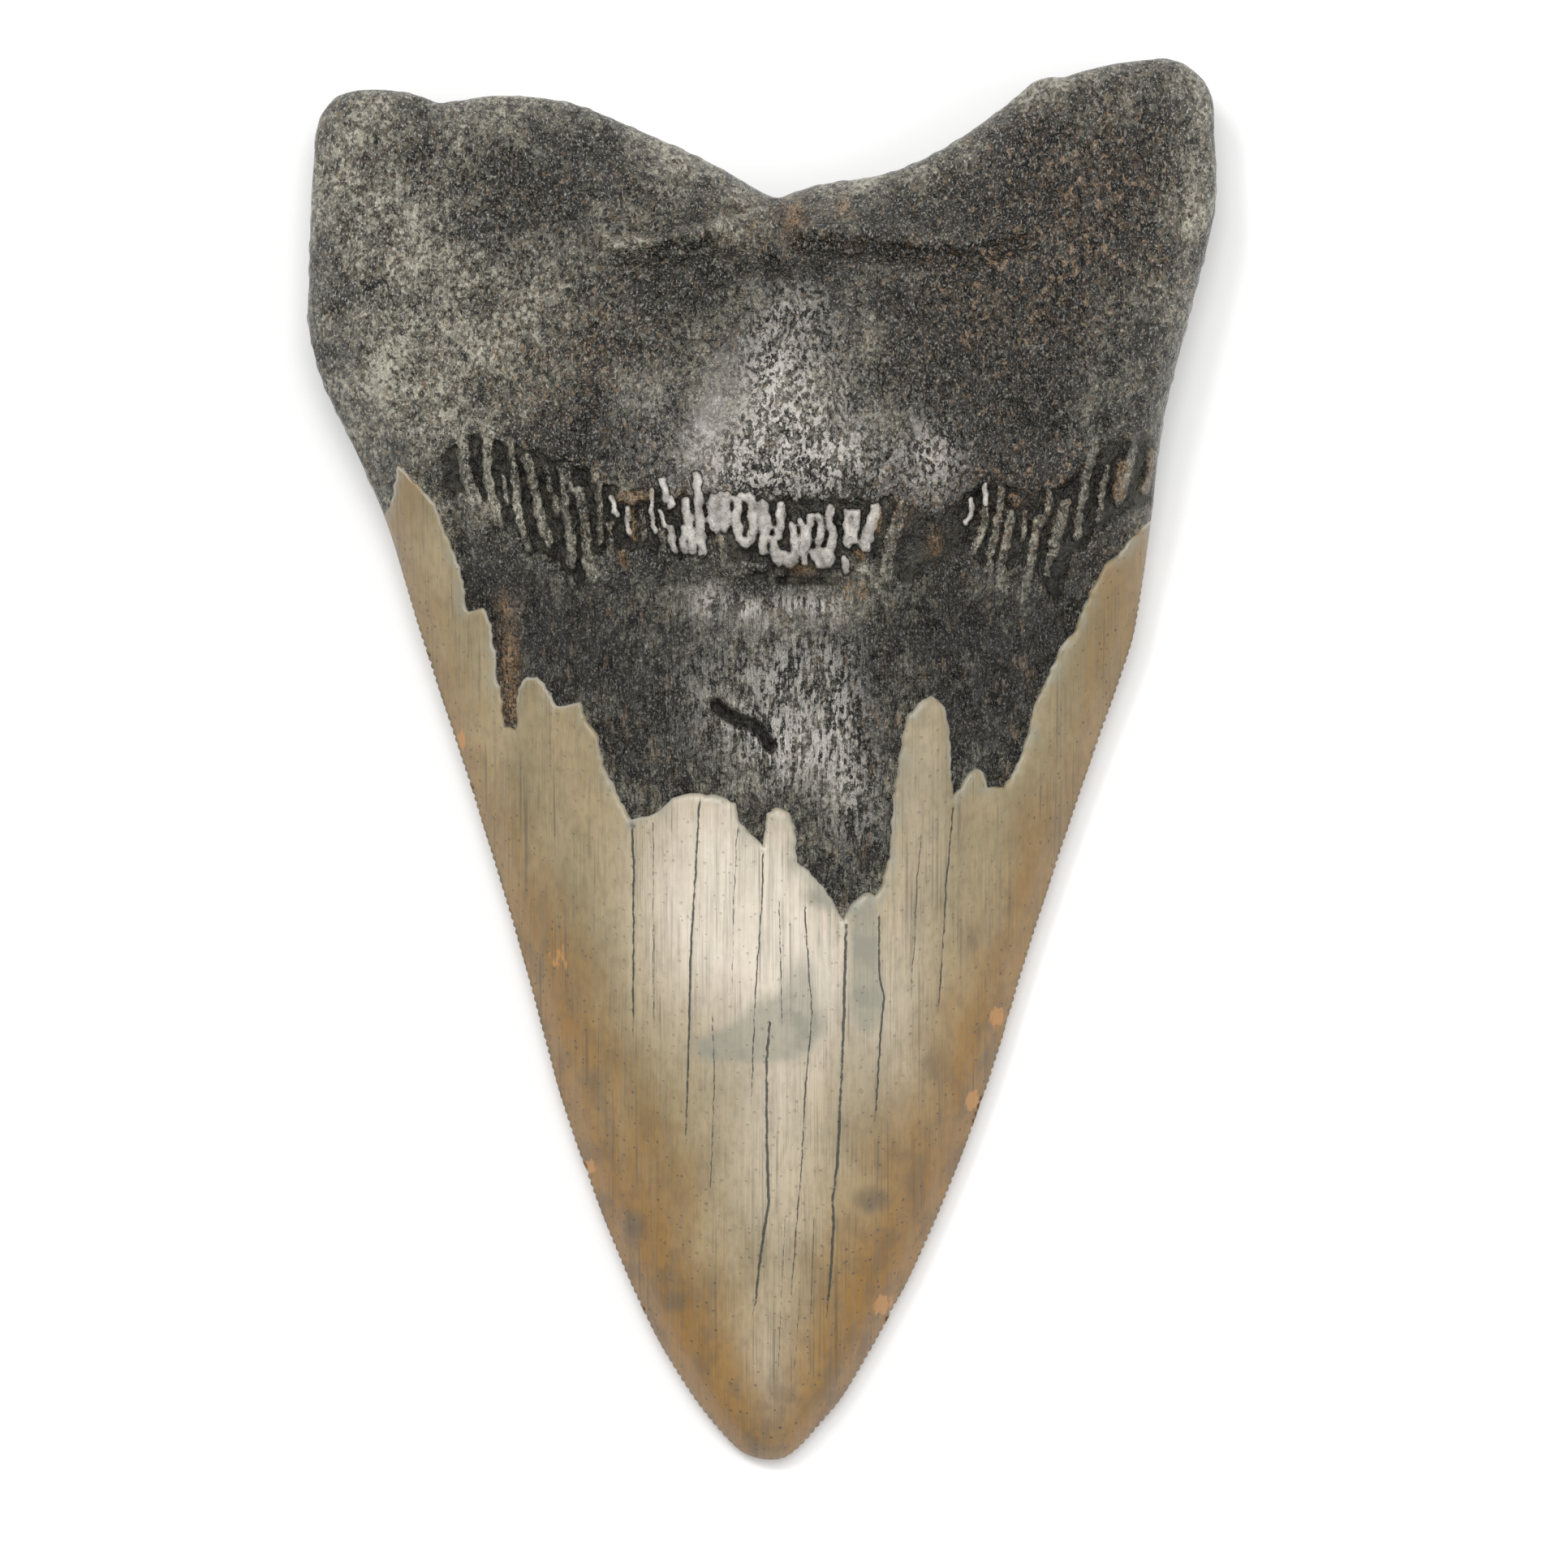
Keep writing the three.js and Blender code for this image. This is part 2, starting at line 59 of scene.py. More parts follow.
ROOT_TOP = [
    (44.1, 64.5), (43.0, 66.6), (40.5, 68.2), (35.8, 68.1), (31.1, 67.1), (29.6, 66.6), (27.1, 66.3),
    (23.9, 63.8), (18.0, 59.7), (12.7, 57.3), (5.0, 55.9), (2.2, 54.9), (1.2, 54.9), (-4.5, 58.0),
    (-11.9, 61.4), (-18.8, 64.1), (-25.9, 64.8), (-31.4, 64.1), (-33.4, 64.8), (-37.2, 65.4), (-40.9, 64.9),
]

# Where the enamel ends against the root, on the lingual and the labial face, from left to right.
LINGUAL_ENAMEL_LINE = [
    (-36.3, 24.2), (-35.3, 28.7), (-33.4, 26.8), (-31.5, 24.6), (-30.7, 22.2), (-29.6, 19.8), (-28.9, 17.2),
    (-28.6, 14.4), (-26.8, 14.7), (-26.4, 13.8), (-25.7, 9.5), (-25.7, 8.1), (-25.1, 5.5), (-25.1, 3.3),
    (-23.9, 2.9), (-23.7, 6.9), (-22.8, 7.9), (-21.6, 8.0), (-20.4, 6.5), (-19.8, 5.0), (-17.5, 5.5),
    (-16.9, 4.0), (-15.7, 2.1), (-15.3, -0.2), (-14.9, -1.1), (-13.6, -3.9), (-12.5, -5.8), (-10.4, -5.4),
    (-9.1, -4.3), (-7.9, -3.4), (-5.6, -3.4), (-3.6, -3.6), (-2.4, -4.3), (-2.2, -5.9), (0.2, -8.3),
    (0.6, -5.3), (1.7, -4.6), (2.9, -5.3), (3.5, -7.4), (3.5, -10.1), (4.7, -10.9), (6.5, -12.9),
    (8.0, -15.7), (8.4, -14.4), (10.2, -12.9), (11.2, -13.2), (11.5, -12.7), (12.5, -9.4), (12.8, -3.9),
    (13.5, 0.9), (14.2, 4.2), (15.2, 5.4), (16.6, 6.3), (18.1, 4.7), (18.4, 1.2), (18.7, -3.5),
    (19.4, -2.7), (20.7, -0.9), (21.7, -1.1), (22.1, -2.7), (23.7, -2.7), (25.1, -0.4), (26.2, 3.4),
    (26.8, 5.4), (28.2, 8.7), (29.3, 11.1), (30.5, 12.4), (32.0, 16.2), (33.5, 18.9), (34.9, 20.0),
    (35.9, 21.4), (38.2, 23.4),
]
LABIAL_ENAMEL_LINE = [
    (-36.3, 24.2), (-31, 25.6), (-24, 26.4), (-16, 28.6), (-8, 31.4), (-1, 32.6), (6, 32.0), (13, 29.6),
    (20, 27.2), (28, 25.8), (33, 25.2), (38.2, 23.4),
]
ENAMEL_LINE_WANDER = {"lingual": 0.11, "labial": 0.25}

# Heights along the tooth, as pairs of y and z.
RIM_HEIGHT = [(-69, 2.3), (-37, 2.8), (0, 3.8), (19, 5.4), (27, 6.6), (34, 7.4), (50, 8), (70, 7.6)]
SPINE_HEIGHT = [
    (-69, 3.6), (-60, 6.4), (-45, 9.4), (-25, 12.4), (-5, 15.6), (8, 17.6), (16, 19.4), (24, 23.4), (32, 25),
]

# Crown
CROWN_TOP_Y = 24
CROWN_HALF_WIDTH = 36.5
CROWN_TAPER = 0.375
CROWN_SHOULDER = 0.936
CROWN_TO_ROOT = (12, 34)
ENAMEL_THICKNESS = 0.8
ENAMEL_LIP = {
    "lingual": [(0, 0), (0.14, 0.7), (0.36, 0.95), (0.6, 1)],
    "labial": [(0, 0), (0.5, 0.6), (1.2, 1)],
}
ENAMEL_MARGIN = 2.2
SERRATION_PITCH = 0.76
SERRATION_DEPTH = 0.2
SERRATION_TIP_CLEAR = 5
SERRATION_FADE = 14
SERRATION_WEAR = dict(mean=0.75, swing=0.4, turns=(0.71, 0.23))
TIP_POINT = (0.2, -68.8)
EDGE_CHIPS = [(23.2, -25.3, 0.9), (20.8, -33.5, 0.8), (11.9, -53.4, 1.0), (-16.7, -40.0, 0.6)]
EDGE_CHIP_DEPTH = 0.35

# Root
LOBE_HEIGHT_LEFT = 14.6
LOBE_HEIGHT_RIGHT = 15.4
LOBE_END_DROP = 2.4
LOBE_CHANGE = (-20, 20)
LOBE_END = (40, 68)
BULGE = dict(x=1, y=31, height=7.6, half_width=21, towards_notch=17, towards_crown=12)
BOSS = dict(x=1.2, y=29.5, height=2.6, half_width=9.5, half_length=8.5)
ROOT_SHOULDER = 14
ROOT_RIM_SWELL = dict(height=0.1, length=3.1)
ROOT_RIM_FADE = 3
LEFT_BEVEL = dict(x=-25, lip=0.8, slope=1.1, begins=(22, 26), ends=(40, 45))
# Broad lumps: the height, then two crossing waves, each as turns along X, turns along Y and phase.
ROOT_LUMPS = [(0.3, (0.31, 0.22, 0), (0.17, -0.36, 0)), (0.22, (0.55, 0, 1.3), (0, 0.47, 0))]
SOLE_SHOULDER = 11
SOLE_CONTACT = -0.3
SOLE_STEP = dict(height=0.9, begins=(36, 46))
SOLE_HOLLOW = dict(x=1, y=50, height=2.2, radius=13)
CROWN_SOLE = dict(height=0.6, half_width=0.55)
CREASES = [
    dict(path=[(4.9, 49.6), (12.0, 49.2), (19.9, 48.1), (25.4, 50.2)], half_width=0.9, height=-1.0),
    dict(path=[(4.0, 51.4), (12.0, 51.0), (19.5, 50.0), (26.0, 52.4)], half_width=1.1, height=0.5),
    dict(path=[(-14.5, 49.6), (-9.0, 50.6), (-3.9, 51.8)], half_width=0.8, height=1.1),
    dict(path=[(-13.6, 48.2), (-8.0, 48.9), (-2.5, 49.6)], half_width=0.7, height=-0.7),
    dict(path=[(15.5, 55.5), (28.0, 57.0)], half_width=4.2, height=-0.8),
    dict(path=[(1.4, 54.4), (2.5, 52.5), (3.8, 49.8)], half_width=0.7, height=-0.6),
    dict(path=[(0.4, 48.5), (2.2, 46.8), (3.6, 48.9)], half_width=0.8, height=-0.7),
    dict(path=[(-6.0, 47.6), (-4.6, 45.6), (-6.8, 43.4)], half_width=0.9, height=-0.6),
    dict(path=[(5.0, 48.4), (7.2, 46.0)], half_width=0.6, height=-0.5),
    dict(path=[(-26.0, 52.6), (-23.8, 53.8)], half_width=0.8, height=0.5),
]
CREASE_FADE = 4
CREASE_STEP = 0.5
LUMPY = [(-1.0, 46.0, 8.0, 5.0, 1.0), (-8.0, 41.0, 4.0, 5.0, 0.6), (3.0, 38.0, 5.0, 6.0, 0.5)]

# Soft unevenness of the faces
ROOT_SWELL = dict(height=0.2, length=5.5, squeeze=0.6)
ROOT_RIPPLE = dict(height=0.13, length=2.2, layers=9)
ROOT_LUMPINESS = dict(height=0.45, length=1.9, layers=8)
ENAMEL_SWELL = dict(height=0.1, length=9, squeeze=0.3)
LABIAL_SWELL = dict(height=0.14, length=6)
ROOT_SWELL_FADE = 3
ENAMEL_SWELL_FADE = 6
LABIAL_SWELL_FADE = 4
# Where the root begins, by the distance inside the enamel's upper end
ROOT_EDGE = {"lingual": (-0.3, 0.1), "labial": (-0.4, 0.1)}

# The neck's sunk band, whose ridges stand up in it, each a width and the points of its middle
WHITE_RIDGES = [
    (0.6, [(-7.2, 24.7), (-6.9, 22.6), (-6.6, 21.3), (-6.5, 20.1)]), (0.5, [(-7.3, 22.1), (-7.4, 20.0)]),
    (0.6, [(-6.1, 27.1), (-5.9, 24.9), (-5.8, 22.6), (-5.6, 20.0)]),
    (1.0, [(-4.4, 24.7), (-4.4, 23.3), (-4.3, 22.4)]), (0.9, [(-3.5, 25.0), (-3.4, 23.5), (-3.6, 22.4)]),
    (0.6, [(-2.1, 25.0), (-2.3, 22.6), (-2.0, 21.3), (-1.4, 20.7), (-0.8, 21.1), (-0.7, 23.0),
        (-0.9, 25.0)]),
    (0.5, [(-2.0, 25.1), (-0.9, 25.1)]), (0.9, [(0.1, 24.2), (0.5, 23.0), (0.4, 21.9)]),
    (0.6, [(0.3, 21.3), (0.3, 20.0)]), (0.6, [(2.0, 24.2), (1.9, 22.5), (1.7, 21.4)]),
    (0.6, [(1.2, 21.1), (1.5, 19.6), (2.4, 18.9), (3.1, 19.3)]), (1.1, [(1.8, 19.4), (2.8, 19.1)]),
    (0.5, [(3.1, 22.4), (3.3, 20.8), (3.4, 19.1)]), (0.4, [(3.9, 22.8), (4.2, 21.8)]),
    (0.5, [(4.9, 23.3), (4.6, 22.1)]), (0.9, [(4.4, 21.8), (4.3, 20.8)]), (0.5, [(4.2, 20.5), (4.2, 18.9)]),
    (0.5, [(5.7, 23.2), (5.8, 22.1), (5.7, 20.8)]),
    (0.6, [(6.7, 24.0), (6.7, 22.6), (7.0, 21.4), (6.8, 20.2)]), (1.2, [(5.6, 19.6), (6.4, 19.6)]),
    (0.7, [(5.7, 18.8), (6.5, 18.9)]), (0.6, [(8.4, 23.3), (8.4, 20.7)]), (0.5, [(9.3, 23.5), (9.0, 21.1)]),
    (0.5, [(8.4, 23.6), (9.3, 23.6)]), (0.6, [(8.4, 20.7), (8.8, 21.0)]),
    (0.8, [(11.1, 24.0), (10.7, 22.6), (10.3, 21.5), (10.1, 20.5)]), (0.6, [(8.1, 19.1), (8.3, 18.2)]),
    (0.3, [(20.3, 25.0), (20.4, 23.6), (19.8, 22.8)]), (0.3, [(21.7, 26.4), (21.7, 24.7)]),
    (0.3, [(-14.3, 25.1), (-14.0, 23.8), (-13.7, 23.4)]), (0.3, [(-12.8, 24.1), (-12.7, 21.8)]),
    (0.3, [(-10.4, 25.7), (-10.5, 23.8), (-10.2, 21.9)]), (0.4, [(-9.4, 26.8), (-9.0, 24.9)]),
    (0.3, [(-9.5, 23.8), (-9.3, 22.4)]), (0.4, [(-8.7, 24.9), (-8.5, 24.3)]),
    (0.5, [(-8.7, 22.2), (-8.3, 20.2)]),
]
PALE_RIDGES = [
    (0.6, [(-2.7, 18.5), (-2.3, 18.2)]), (0.9, [(-1.7, 18.4), (-0.9, 18.4)]),
    (0.7, [(0.0, 18.4), (0.6, 18.4)]), (0.5, [(1.4, 17.9), (2.0, 17.8)]),
    (1.0, [(-29.2, 32.7), (-28.8, 29.6), (-28.4, 27.0), (-27.6, 25.1)]),
    (0.9, [(-26.5, 31.6), (-26.4, 29.8)]),
    (0.7, [(-26.4, 29.8), (-26.4, 27.5), (-26.0, 25.4), (-25.4, 23.8)]),
    (0.3, [(-24.8, 27.4), (-24.6, 24.6)]),
    (0.6, [(-24.2, 30.4), (-23.9, 28.3), (-23.6, 26.3), (-23.5, 24.1), (-22.9, 22.0), (-22.5, 20.5)]),
    (0.8, [(-22.6, 29.0), (-22.1, 27.1), (-21.7, 25.4), (-21.4, 23.8), (-20.9, 22.0), (-20.4, 20.8)]),
    (0.5, [(-20.6, 28.2), (-20.3, 26.0)]), (0.5, [(-19.8, 25.2), (-19.7, 23.8)]),
    (0.6, [(-19.2, 28.2), (-19.0, 25.9), (-18.8, 23.7), (-18.5, 22.2)]),
    (0.8, [(-18.4, 22.2), (-18.3, 20.6), (-18.3, 18.9)]), (0.5, [(-18.7, 28.3), (-18.3, 26.0)]),
    (0.8, [(-17.5, 25.9), (-17.1, 23.9), (-16.8, 22.3), (-16.8, 20.6), (-16.8, 19.2), (-16.2, 17.5)]),
    (0.5, [(-15.9, 28.2), (-16.0, 26.8)]), (0.5, [(-15.6, 26.4), (-15.4, 23.1), (-15.5, 20.9)]),
    (0.5, [(-14.4, 22.6), (-14.5, 19.9)]), (0.5, [(-11.4, 23.8), (-11.2, 21.2)]),
    (0.7, [(-9.3, 26.1), (-9.0, 24.4)]), (0.5, [(-9.5, 22.2), (-9.4, 20.2)]),
    (0.7, [(9.9, 18.2), (10.3, 18.6)]),
    (1.1, [(13.8, 24.5), (13.2, 22.9), (12.8, 21.6), (12.3, 19.8), (12.1, 17.7)]),
    (0.6, [(21.7, 25.8), (21.7, 23.2), (21.1, 21.3), (20.5, 20.2)]),
    (0.6, [(23.2, 26.0), (23.1, 23.8), (22.7, 22.0), (22.3, 20.0), (22.1, 18.4)]),
    (0.7, [(24.3, 23.7), (24.0, 22.2), (23.7, 20.7), (23.3, 18.9), (23.4, 16.7)]),
    (0.3, [(25.6, 23.8), (25.4, 21.3)]), (0.5, [(28.0, 25.6), (27.7, 24.0), (27.1, 22.6)]),
    (0.7, [(26.9, 23.2), (26.4, 20.4), (26.2, 18.8), (25.7, 17.2), (25.4, 15.6)]),
    (0.9, [(29.5, 24.7), (29.1, 22.9), (28.6, 21.4), (28.3, 19.9)]), (0.5, [(28.1, 19.8), (27.8, 17.9)]),
    (0.7, [(32.4, 30.8), (32.0, 28.4), (31.4, 26.9), (31.3, 25.5), (30.9, 23.3), (30.8, 21.6)]),
    (0.5, [(33.6, 28.3), (33.2, 26.3), (32.8, 23.3)]),
    (0.7, [(36.4, 31.8), (36.1, 29.7), (35.6, 27.4), (34.8, 25.0)]),
]
TAN_RIDGES = [
    (1.1, [(-13.3, 25.3), (-12.4, 25.1)]), (0.8, [(-11.9, 25.3), (-10.8, 25.4)]),
    (0.4, [(-12.3, 23.8), (-12.2, 21.2)]), (0.7, [(9.4, 19.7), (9.8, 19.6)]),
    (0.8, [(8.4, 16.8), (8.4, 15.8)]), (0.7, [(9.9, 16.7), (9.9, 15.8)]),
    (0.5, [(11.5, 23.7), (11.2, 22.1)]), (0.8, [(24.4, 25.2), (24.8, 24.8)]),
    (0.9, [(35.2, 28.5), (34.7, 25.6)]), (0.5, [(38.1, 29.9), (37.9, 27.4), (37.4, 26.1)]),
    (0.6, [(-13.4, 19.8), (-13.1, 18.8)]),
]
BAND_TOP = [
    (-30.7, 29.4), (-29.3, 31.1), (-27.7, 31.4), (-26.0, 31.1), (-24.9, 30.6), (-23.3, 30.1), (-21.5, 29.7),
    (-20.2, 28.9), (-18.6, 28.6), (-17.3, 28.0), (-15.9, 27.0), (-14.1, 26.0), (-10.7, 25.7), (-7.7, 25.2),
    (-4.4, 25.3), (-0.5, 25.2), (3.4, 24.9), (9.6, 24.9), (13.7, 24.9), (16.7, 23.1), (19.5, 25.3),
    (21.9, 26.8), (23.8, 26.2), (26.0, 25.6), (28.6, 26.1), (31.0, 28.0), (32.8, 30.0), (36.7, 31.7),
    (38.7, 31.4),
]
BAND_FOOT = [
    (-30.7, 26.0), (-28.1, 25.4), (-26.5, 24.9), (-24.5, 23.2), (-22.9, 20.7), (-20.8, 20.2), (-19.4, 19.5),
    (-18.6, 18.1), (-17.3, 16.8), (-16.4, 20.0), (-13.4, 20.2), (-10.7, 20.8), (-6.8, 19.7), (-4.0, 21.8),
    (-2.5, 19.1), (-0.9, 17.7), (1.8, 17.7), (4.9, 17.7), (7.3, 17.9), (9.0, 19.9), (11.2, 19.1),
    (14.3, 17.1), (17.5, 19.2), (20.2, 20.0), (21.8, 18.4), (24.6, 18.9), (27.0, 18.0), (28.9, 15.5),
    (30.0, 19.3), (32.8, 22.5), (35.5, 24.2), (38.7, 25.6),
]
BAND_DEPTH = [(-31, 0.9), (-17, 1.0), (-10, 0.5), (0, 0.42), (10, 0.45), (17, 0.35), (22, 0.65), (39, 0.7)]
# How dark the band's ground is painted, as painted shade in the sunk band, along X
BAND_SHADE = [
    (-31, 0.95), (-17, 0.95), (-11, 0.85), (-5, 0.75), (9, 0.75), (17, 0.6), (22, 0.8), (39, 0.7),
]
BAND_LIFT = 0.2
BAND_TOP_WAVER = dict(height=0.25, length=1.5)
BAND_FOOT_WAVER = dict(height=0.35, length=2.1)
BAND_LEFT_END = (-31.5, -30.2)
BAND_RIGHT_END = (38.8, 37.8)
BAND_TOP_SOFTNESS = [(14, 0.2), (20, 0.7)]
BAND_FOOT_SOFTNESS = (-0.7, 0.3)
WHITE_GROWTH = 1.35
PALE_GROWTH = 1.1
RIDGE_CROWN = 0.5
RIDGE_MARGIN = 0.08
RIDGE_EDGE = (0.14, -0.1)
RIDGE_REACH = 2
RIDGE_WAVER = dict(height=0.09, length=0.9, squeeze=0.7)

# Short level cuts under the ridges, darkened as painted shadow, the slot in the neck, darkened as painted
# shade, and the small knob beside the ridges
CUTS = [
    (2.0, 17.2, 7.3, 17.1, 0.4), (1.0, 18.1, 3.7, 18.0, 0.3), (-7.9, 19.8, -5.8, 19.8, 0.35),
    (-1.9, 20.0, -0.7, 20.0, 0.3),
]
CUT_DEPTH = 0.5
SLOT = [(-4.1, 5.1), (-3.3, 4.3), (-2.3, 3.8), (-0.5, 3.2), (0.3, 2.3), (0.9, 1.3)]
SLOT_HALF_WIDTH = 0.62
SLOT_DEPTH = 1.2
# The slot's lip, polished and painted lighter as a highlight below a line that falls towards +X
SLOT_LIP = dict(at=1.7, half_width=0.4, height=0.25, polish_and_highlight=0.8, below=3.2, fall=0.6)
KNOB = dict(x=16.8, y=20.6, half_width=0.7, half_length=1.2, height=0.9)

# Cracks of the enamel, each as its width and its path from the upper end to the lower end
CRACKS = [
    (0.22, [(-12.5, -5.9), (-12.3, -9.9), (-12.4, -24.2), (-12.4, -29.0)]),
    (0.10, [(-10.4, -5.9), (-10.4, -29.7)]),
    (0.22, [(-5.9, -3.5), (-6.2, -9.8), (-6.8, -19.3), (-7.0, -28.8), (-7.3, -36.8), (-7.5, -41.2)]),
    (0.13, [(-4.7, -24.9), (-4.5, -31.2), (-4.8, -40.0), (-5.1, -44.8)]),
    (0.10, [(-2.2, -5.9), (-2.4, -9.8), (-2.6, -14.6), (-2.8, -24.8)]),
    (0.15, [(0.2, -8.3), (0.2, -13.0), (-0.2, -18.5), (-0.6, -24.8), (-1.0, -36.7)]),
    (0.12, [(1.8, -13.8), (2.0, -20.9), (2.1, -28.0)]),
    (0.30, [(0.9, -25.6), (0.6, -28.8), (0.6, -36.7), (0.8, -42.9), (0.1, -47.6), (-0.5, -53.0),
        (-1.5, -57.7)]),
    (0.15, [(4.3, -14.6), (4.6, -19.3), (5.0, -24.8), (4.3, -32.8), (4.0, -39.5), (3.0, -51.7),
        (2.8, -56.8)]),
    (0.32, [(8.3, -15.8), (8.1, -24.9), (7.9, -30.4), (7.5, -39.2), (7.0, -43.2), (7.1, -45.6),
        (6.7, -51.9), (5.9, -57.9)]),
    (0.20, [(11.5, -15.4), (11.5, -20.9), (12.0, -23.3), (11.6, -27.3), (11.3, -32.9), (10.9, -38.1)]),
    (0.10, [(15.6, -7.5), (15.2, -11.5), (15.0, -17.0), (14.7, -21.0), (14.5, -25.8)]),
    (0.16, [(18.7, -4.8), (18.3, -9.3), (18.0, -12.7), (17.8, -17.0), (17.5, -22.2), (17.1, -26.7)]),
    (0.08, [(2.4, -44.7), (2.0, -52.7), (1.6, -62.5)]), (0.08, [(5.2, -44.8), (4.8, -56.0)]),
    (0.07, [(3.8, -52.8), (3.2, -60.8)]),
]
CRACK_DEPTH = 0.12
CRACK_EDGE = 0.05
CRACK_WANDER = 0.05
CRACK_FULL_WIDTH = 0.2
CRACK_LEAST_DEPTH = 0.45
CRACK_END_TAPER = 0.25
LABIAL_CRACKS = [
    (0.18, [(-10.5, 27.5), (-9.8, 10.0), (-8.2, -12.0), (-6.6, -30.0)]),
    (0.25, [(2.6, 30.0), (2.2, 12.0), (1.4, -14.0), (1.0, -44.0)]),
    (0.15, [(13.5, 26.5), (12.2, 8.0), (10.0, -18.0)]),
    (0.12, [(-20.5, 24.0), (-18.6, 6.0), (-15.2, -14.0)]),
]

# Looks: how strongly the forms mark the root, partly as painted light and shade, and where its painted rim
# light and fibres begin
STRENGTH = {
    "pale ridge": 0.55, "crease highlight": 0.6, "crease shade": 0.55, "rusty ridge": 0.45, "ridge flank": 0.4,
    "cut shadow": 0.8, "band against polish": 0.85, "polish against grain": 0.7,
}
# Painted light along the root's top rim, fading inwards from the edge
EDGE_LIGHT = dict(strength=0.9, reach=4.5, begins=(48, 56))
FIBRE_BEGINS = (22, 14)
GRAIN_FADE = 0.8

# Soft patches of the root and the enamel, each as x, y, radius across, radius along and strength
# Polished patches on the bulge, the neck and the fibres: real polish, also painted lighter as a highlight
# where the gloss catches the light
POLISH = [
    (-1.0, 28.6, 6.0, 4.0, 0.95), (1.0, 36.0, 3.0, 6.0, 0.8), (5.0, 35.0, 4.0, 5.0, 0.55),
    (7.0, 28.5, 5.5, 3.6, 0.75), (3.7, 43.0, 3.0, 2.5, 0.5), (16.5, 29.0, 2.8, 3.5, 0.75),
    (-4.9, 15.3, 1.5, 1.5, 0.7), (-1.5, 14.6, 2.0, 1.1, 0.75), (3.0, 14.8, 2.2, 1.0, 0.6),
    (6.2, 14.7, 1.6, 1.0, 0.55), (-11.5, 33.0, 3.0, 4.0, 0.25), (2.0, 0.5, 4.5, 3.5, 0.85),
    (3.0, 8.0, 4.0, 5.0, 0.5), (7.5, 3.0, 2.6, 7.0, 0.65), (-3.0, 6.0, 6.0, 5.0, 0.35),
    (9.5, -4.0, 2.5, 4.0, 0.45),
]
# Painted sheen: soft reflections of the light laid into the colour, where the grain is also smoother and
# glossier
SHEEN = [
    (-2.6, 38.5, 1.8, 2.4, 0.6), (-3.8, 34.5, 2.0, 2.8, 0.8), (-4.8, 31.0, 2.2, 2.6, 1.0),
    (-5.8, 27.5, 1.8, 2.2, 0.9), (-3.5, 13.6, 2.4, 1.2, 0.7), (1.0, 13.2, 3.2, 1.0, 0.5),
    (5.5, 13.8, 2.2, 1.2, 0.4), (-6.4, 15.2, 1.4, 1.6, 0.6),
]
ROOT_PALE = [
    (-37.0, 48.0, 7.0, 15.0, 1.0), (-26.0, 42.0, 9.0, 9.0, 0.45), (-32.0, 33.0, 6.0, 5.0, 0.7),
    (41.0, 40.0, 3.6, 13.0, 1.0), (43.0, 60.0, 2.5, 8.0, 0.5), (12.0, 57.0, 8.0, 3.0, 0.5),
]
# Dark zones of the root: partly its own black mineral, partly painted shade where the bulge's flanks slope
# away from the light
ROOT_BLACK_AND_SHADE = [
    (24.6, 36.0, 8.5, 9.0, 1.0), (20.0, 53.8, 12.0, 4.5, 1.0), (-22.0, 56.0, 13.0, 5.0, 0.8),
    (-15.0, 33.0, 4.0, 5.0, 0.4), (-21.0, 12.0, 8.0, 9.0, 0.8), (23.0, 8.0, 9.0, 13.0, 1.0),
    (20.0, 26.0, 5.0, 6.0, 0.7), (5.0, 47.5, 8.0, 3.5, 0.7), (-16.5, 31.0, 4.0, 3.5, 0.5),
    (34.0, 58.0, 9.0, 9.0, 1.0), (24.0, 45.0, 9.0, 6.0, 0.6), (-11.0, 4.0, 4.0, 6.0, 0.5),
    (10.5, -8.0, 3.0, 3.0, 0.6), (32.0, 24.0, 5.0, 6.0, 0.7), (-10.0, 19.0, 8.0, 3.0, 0.4),
]
ROOT_BROWN = [
    (31.0, 56.0, 8.0, 8.0, 0.6), (24.0, 45.0, 10.0, 6.0, 0.5), (-20.0, 38.0, 8.0, 5.0, 0.5),
    (26.0, 24.0, 9.0, 5.0, 0.6), (2.0, 52.0, 7.0, 3.0, 0.6), (14.0, 24.0, 4.0, 3.0, 0.5),
    (-8.0, 23.0, 12.0, 3.0, 0.3),
]
ENAMEL_IVORY = [
    (-7.0, -13.0, 5.5, 11.0, 0.85), (0.0, -14.0, 6.0, 12.0, 1.0), (6.0, -21.0, 4.0, 9.0, 0.6),
    (1.5, -36.0, 5.0, 14.0, 0.45), (15.5, -4.0, 3.0, 12.0, 0.2), (0.8, -61.0, 3.0, 6.0, 0.5),
    (12.5, -24.0, 4.0, 12.0, 0.35),
]
ENAMEL_STAIN = [
    (2.5, -25.5, 4.5, 3.0, 0.9), (-2.5, -28.0, 5.5, 2.2, 0.8), (4.0, -21.0, 2.0, 3.0, 0.6),
    (10.0, -17.5, 1.6, 6.0, 1.0), (10.5, -24.0, 1.8, 3.0, 0.7), (6.3, -13.4, 2.4, 1.6, 0.9),
]
ENAMEL_UMBER = [
    (-12.2, -45.4, 2.0, 2.0, 0.8), (-8.0, -53.0, 2.4, 1.8, 0.8), (11.0, -43.0, 3.0, 1.8, 0.6),
    (5.8, -36.8, 1.6, 1.2, 0.4), (-16.0, -31.0, 2.4, 3.0, 0.5), (17.0, -30.0, 2.0, 3.0, 0.5),
    (-3.0, -60.0, 2.0, 1.4, 0.5), (20.5, -17.0, 2.0, 4.0, 0.4),
]
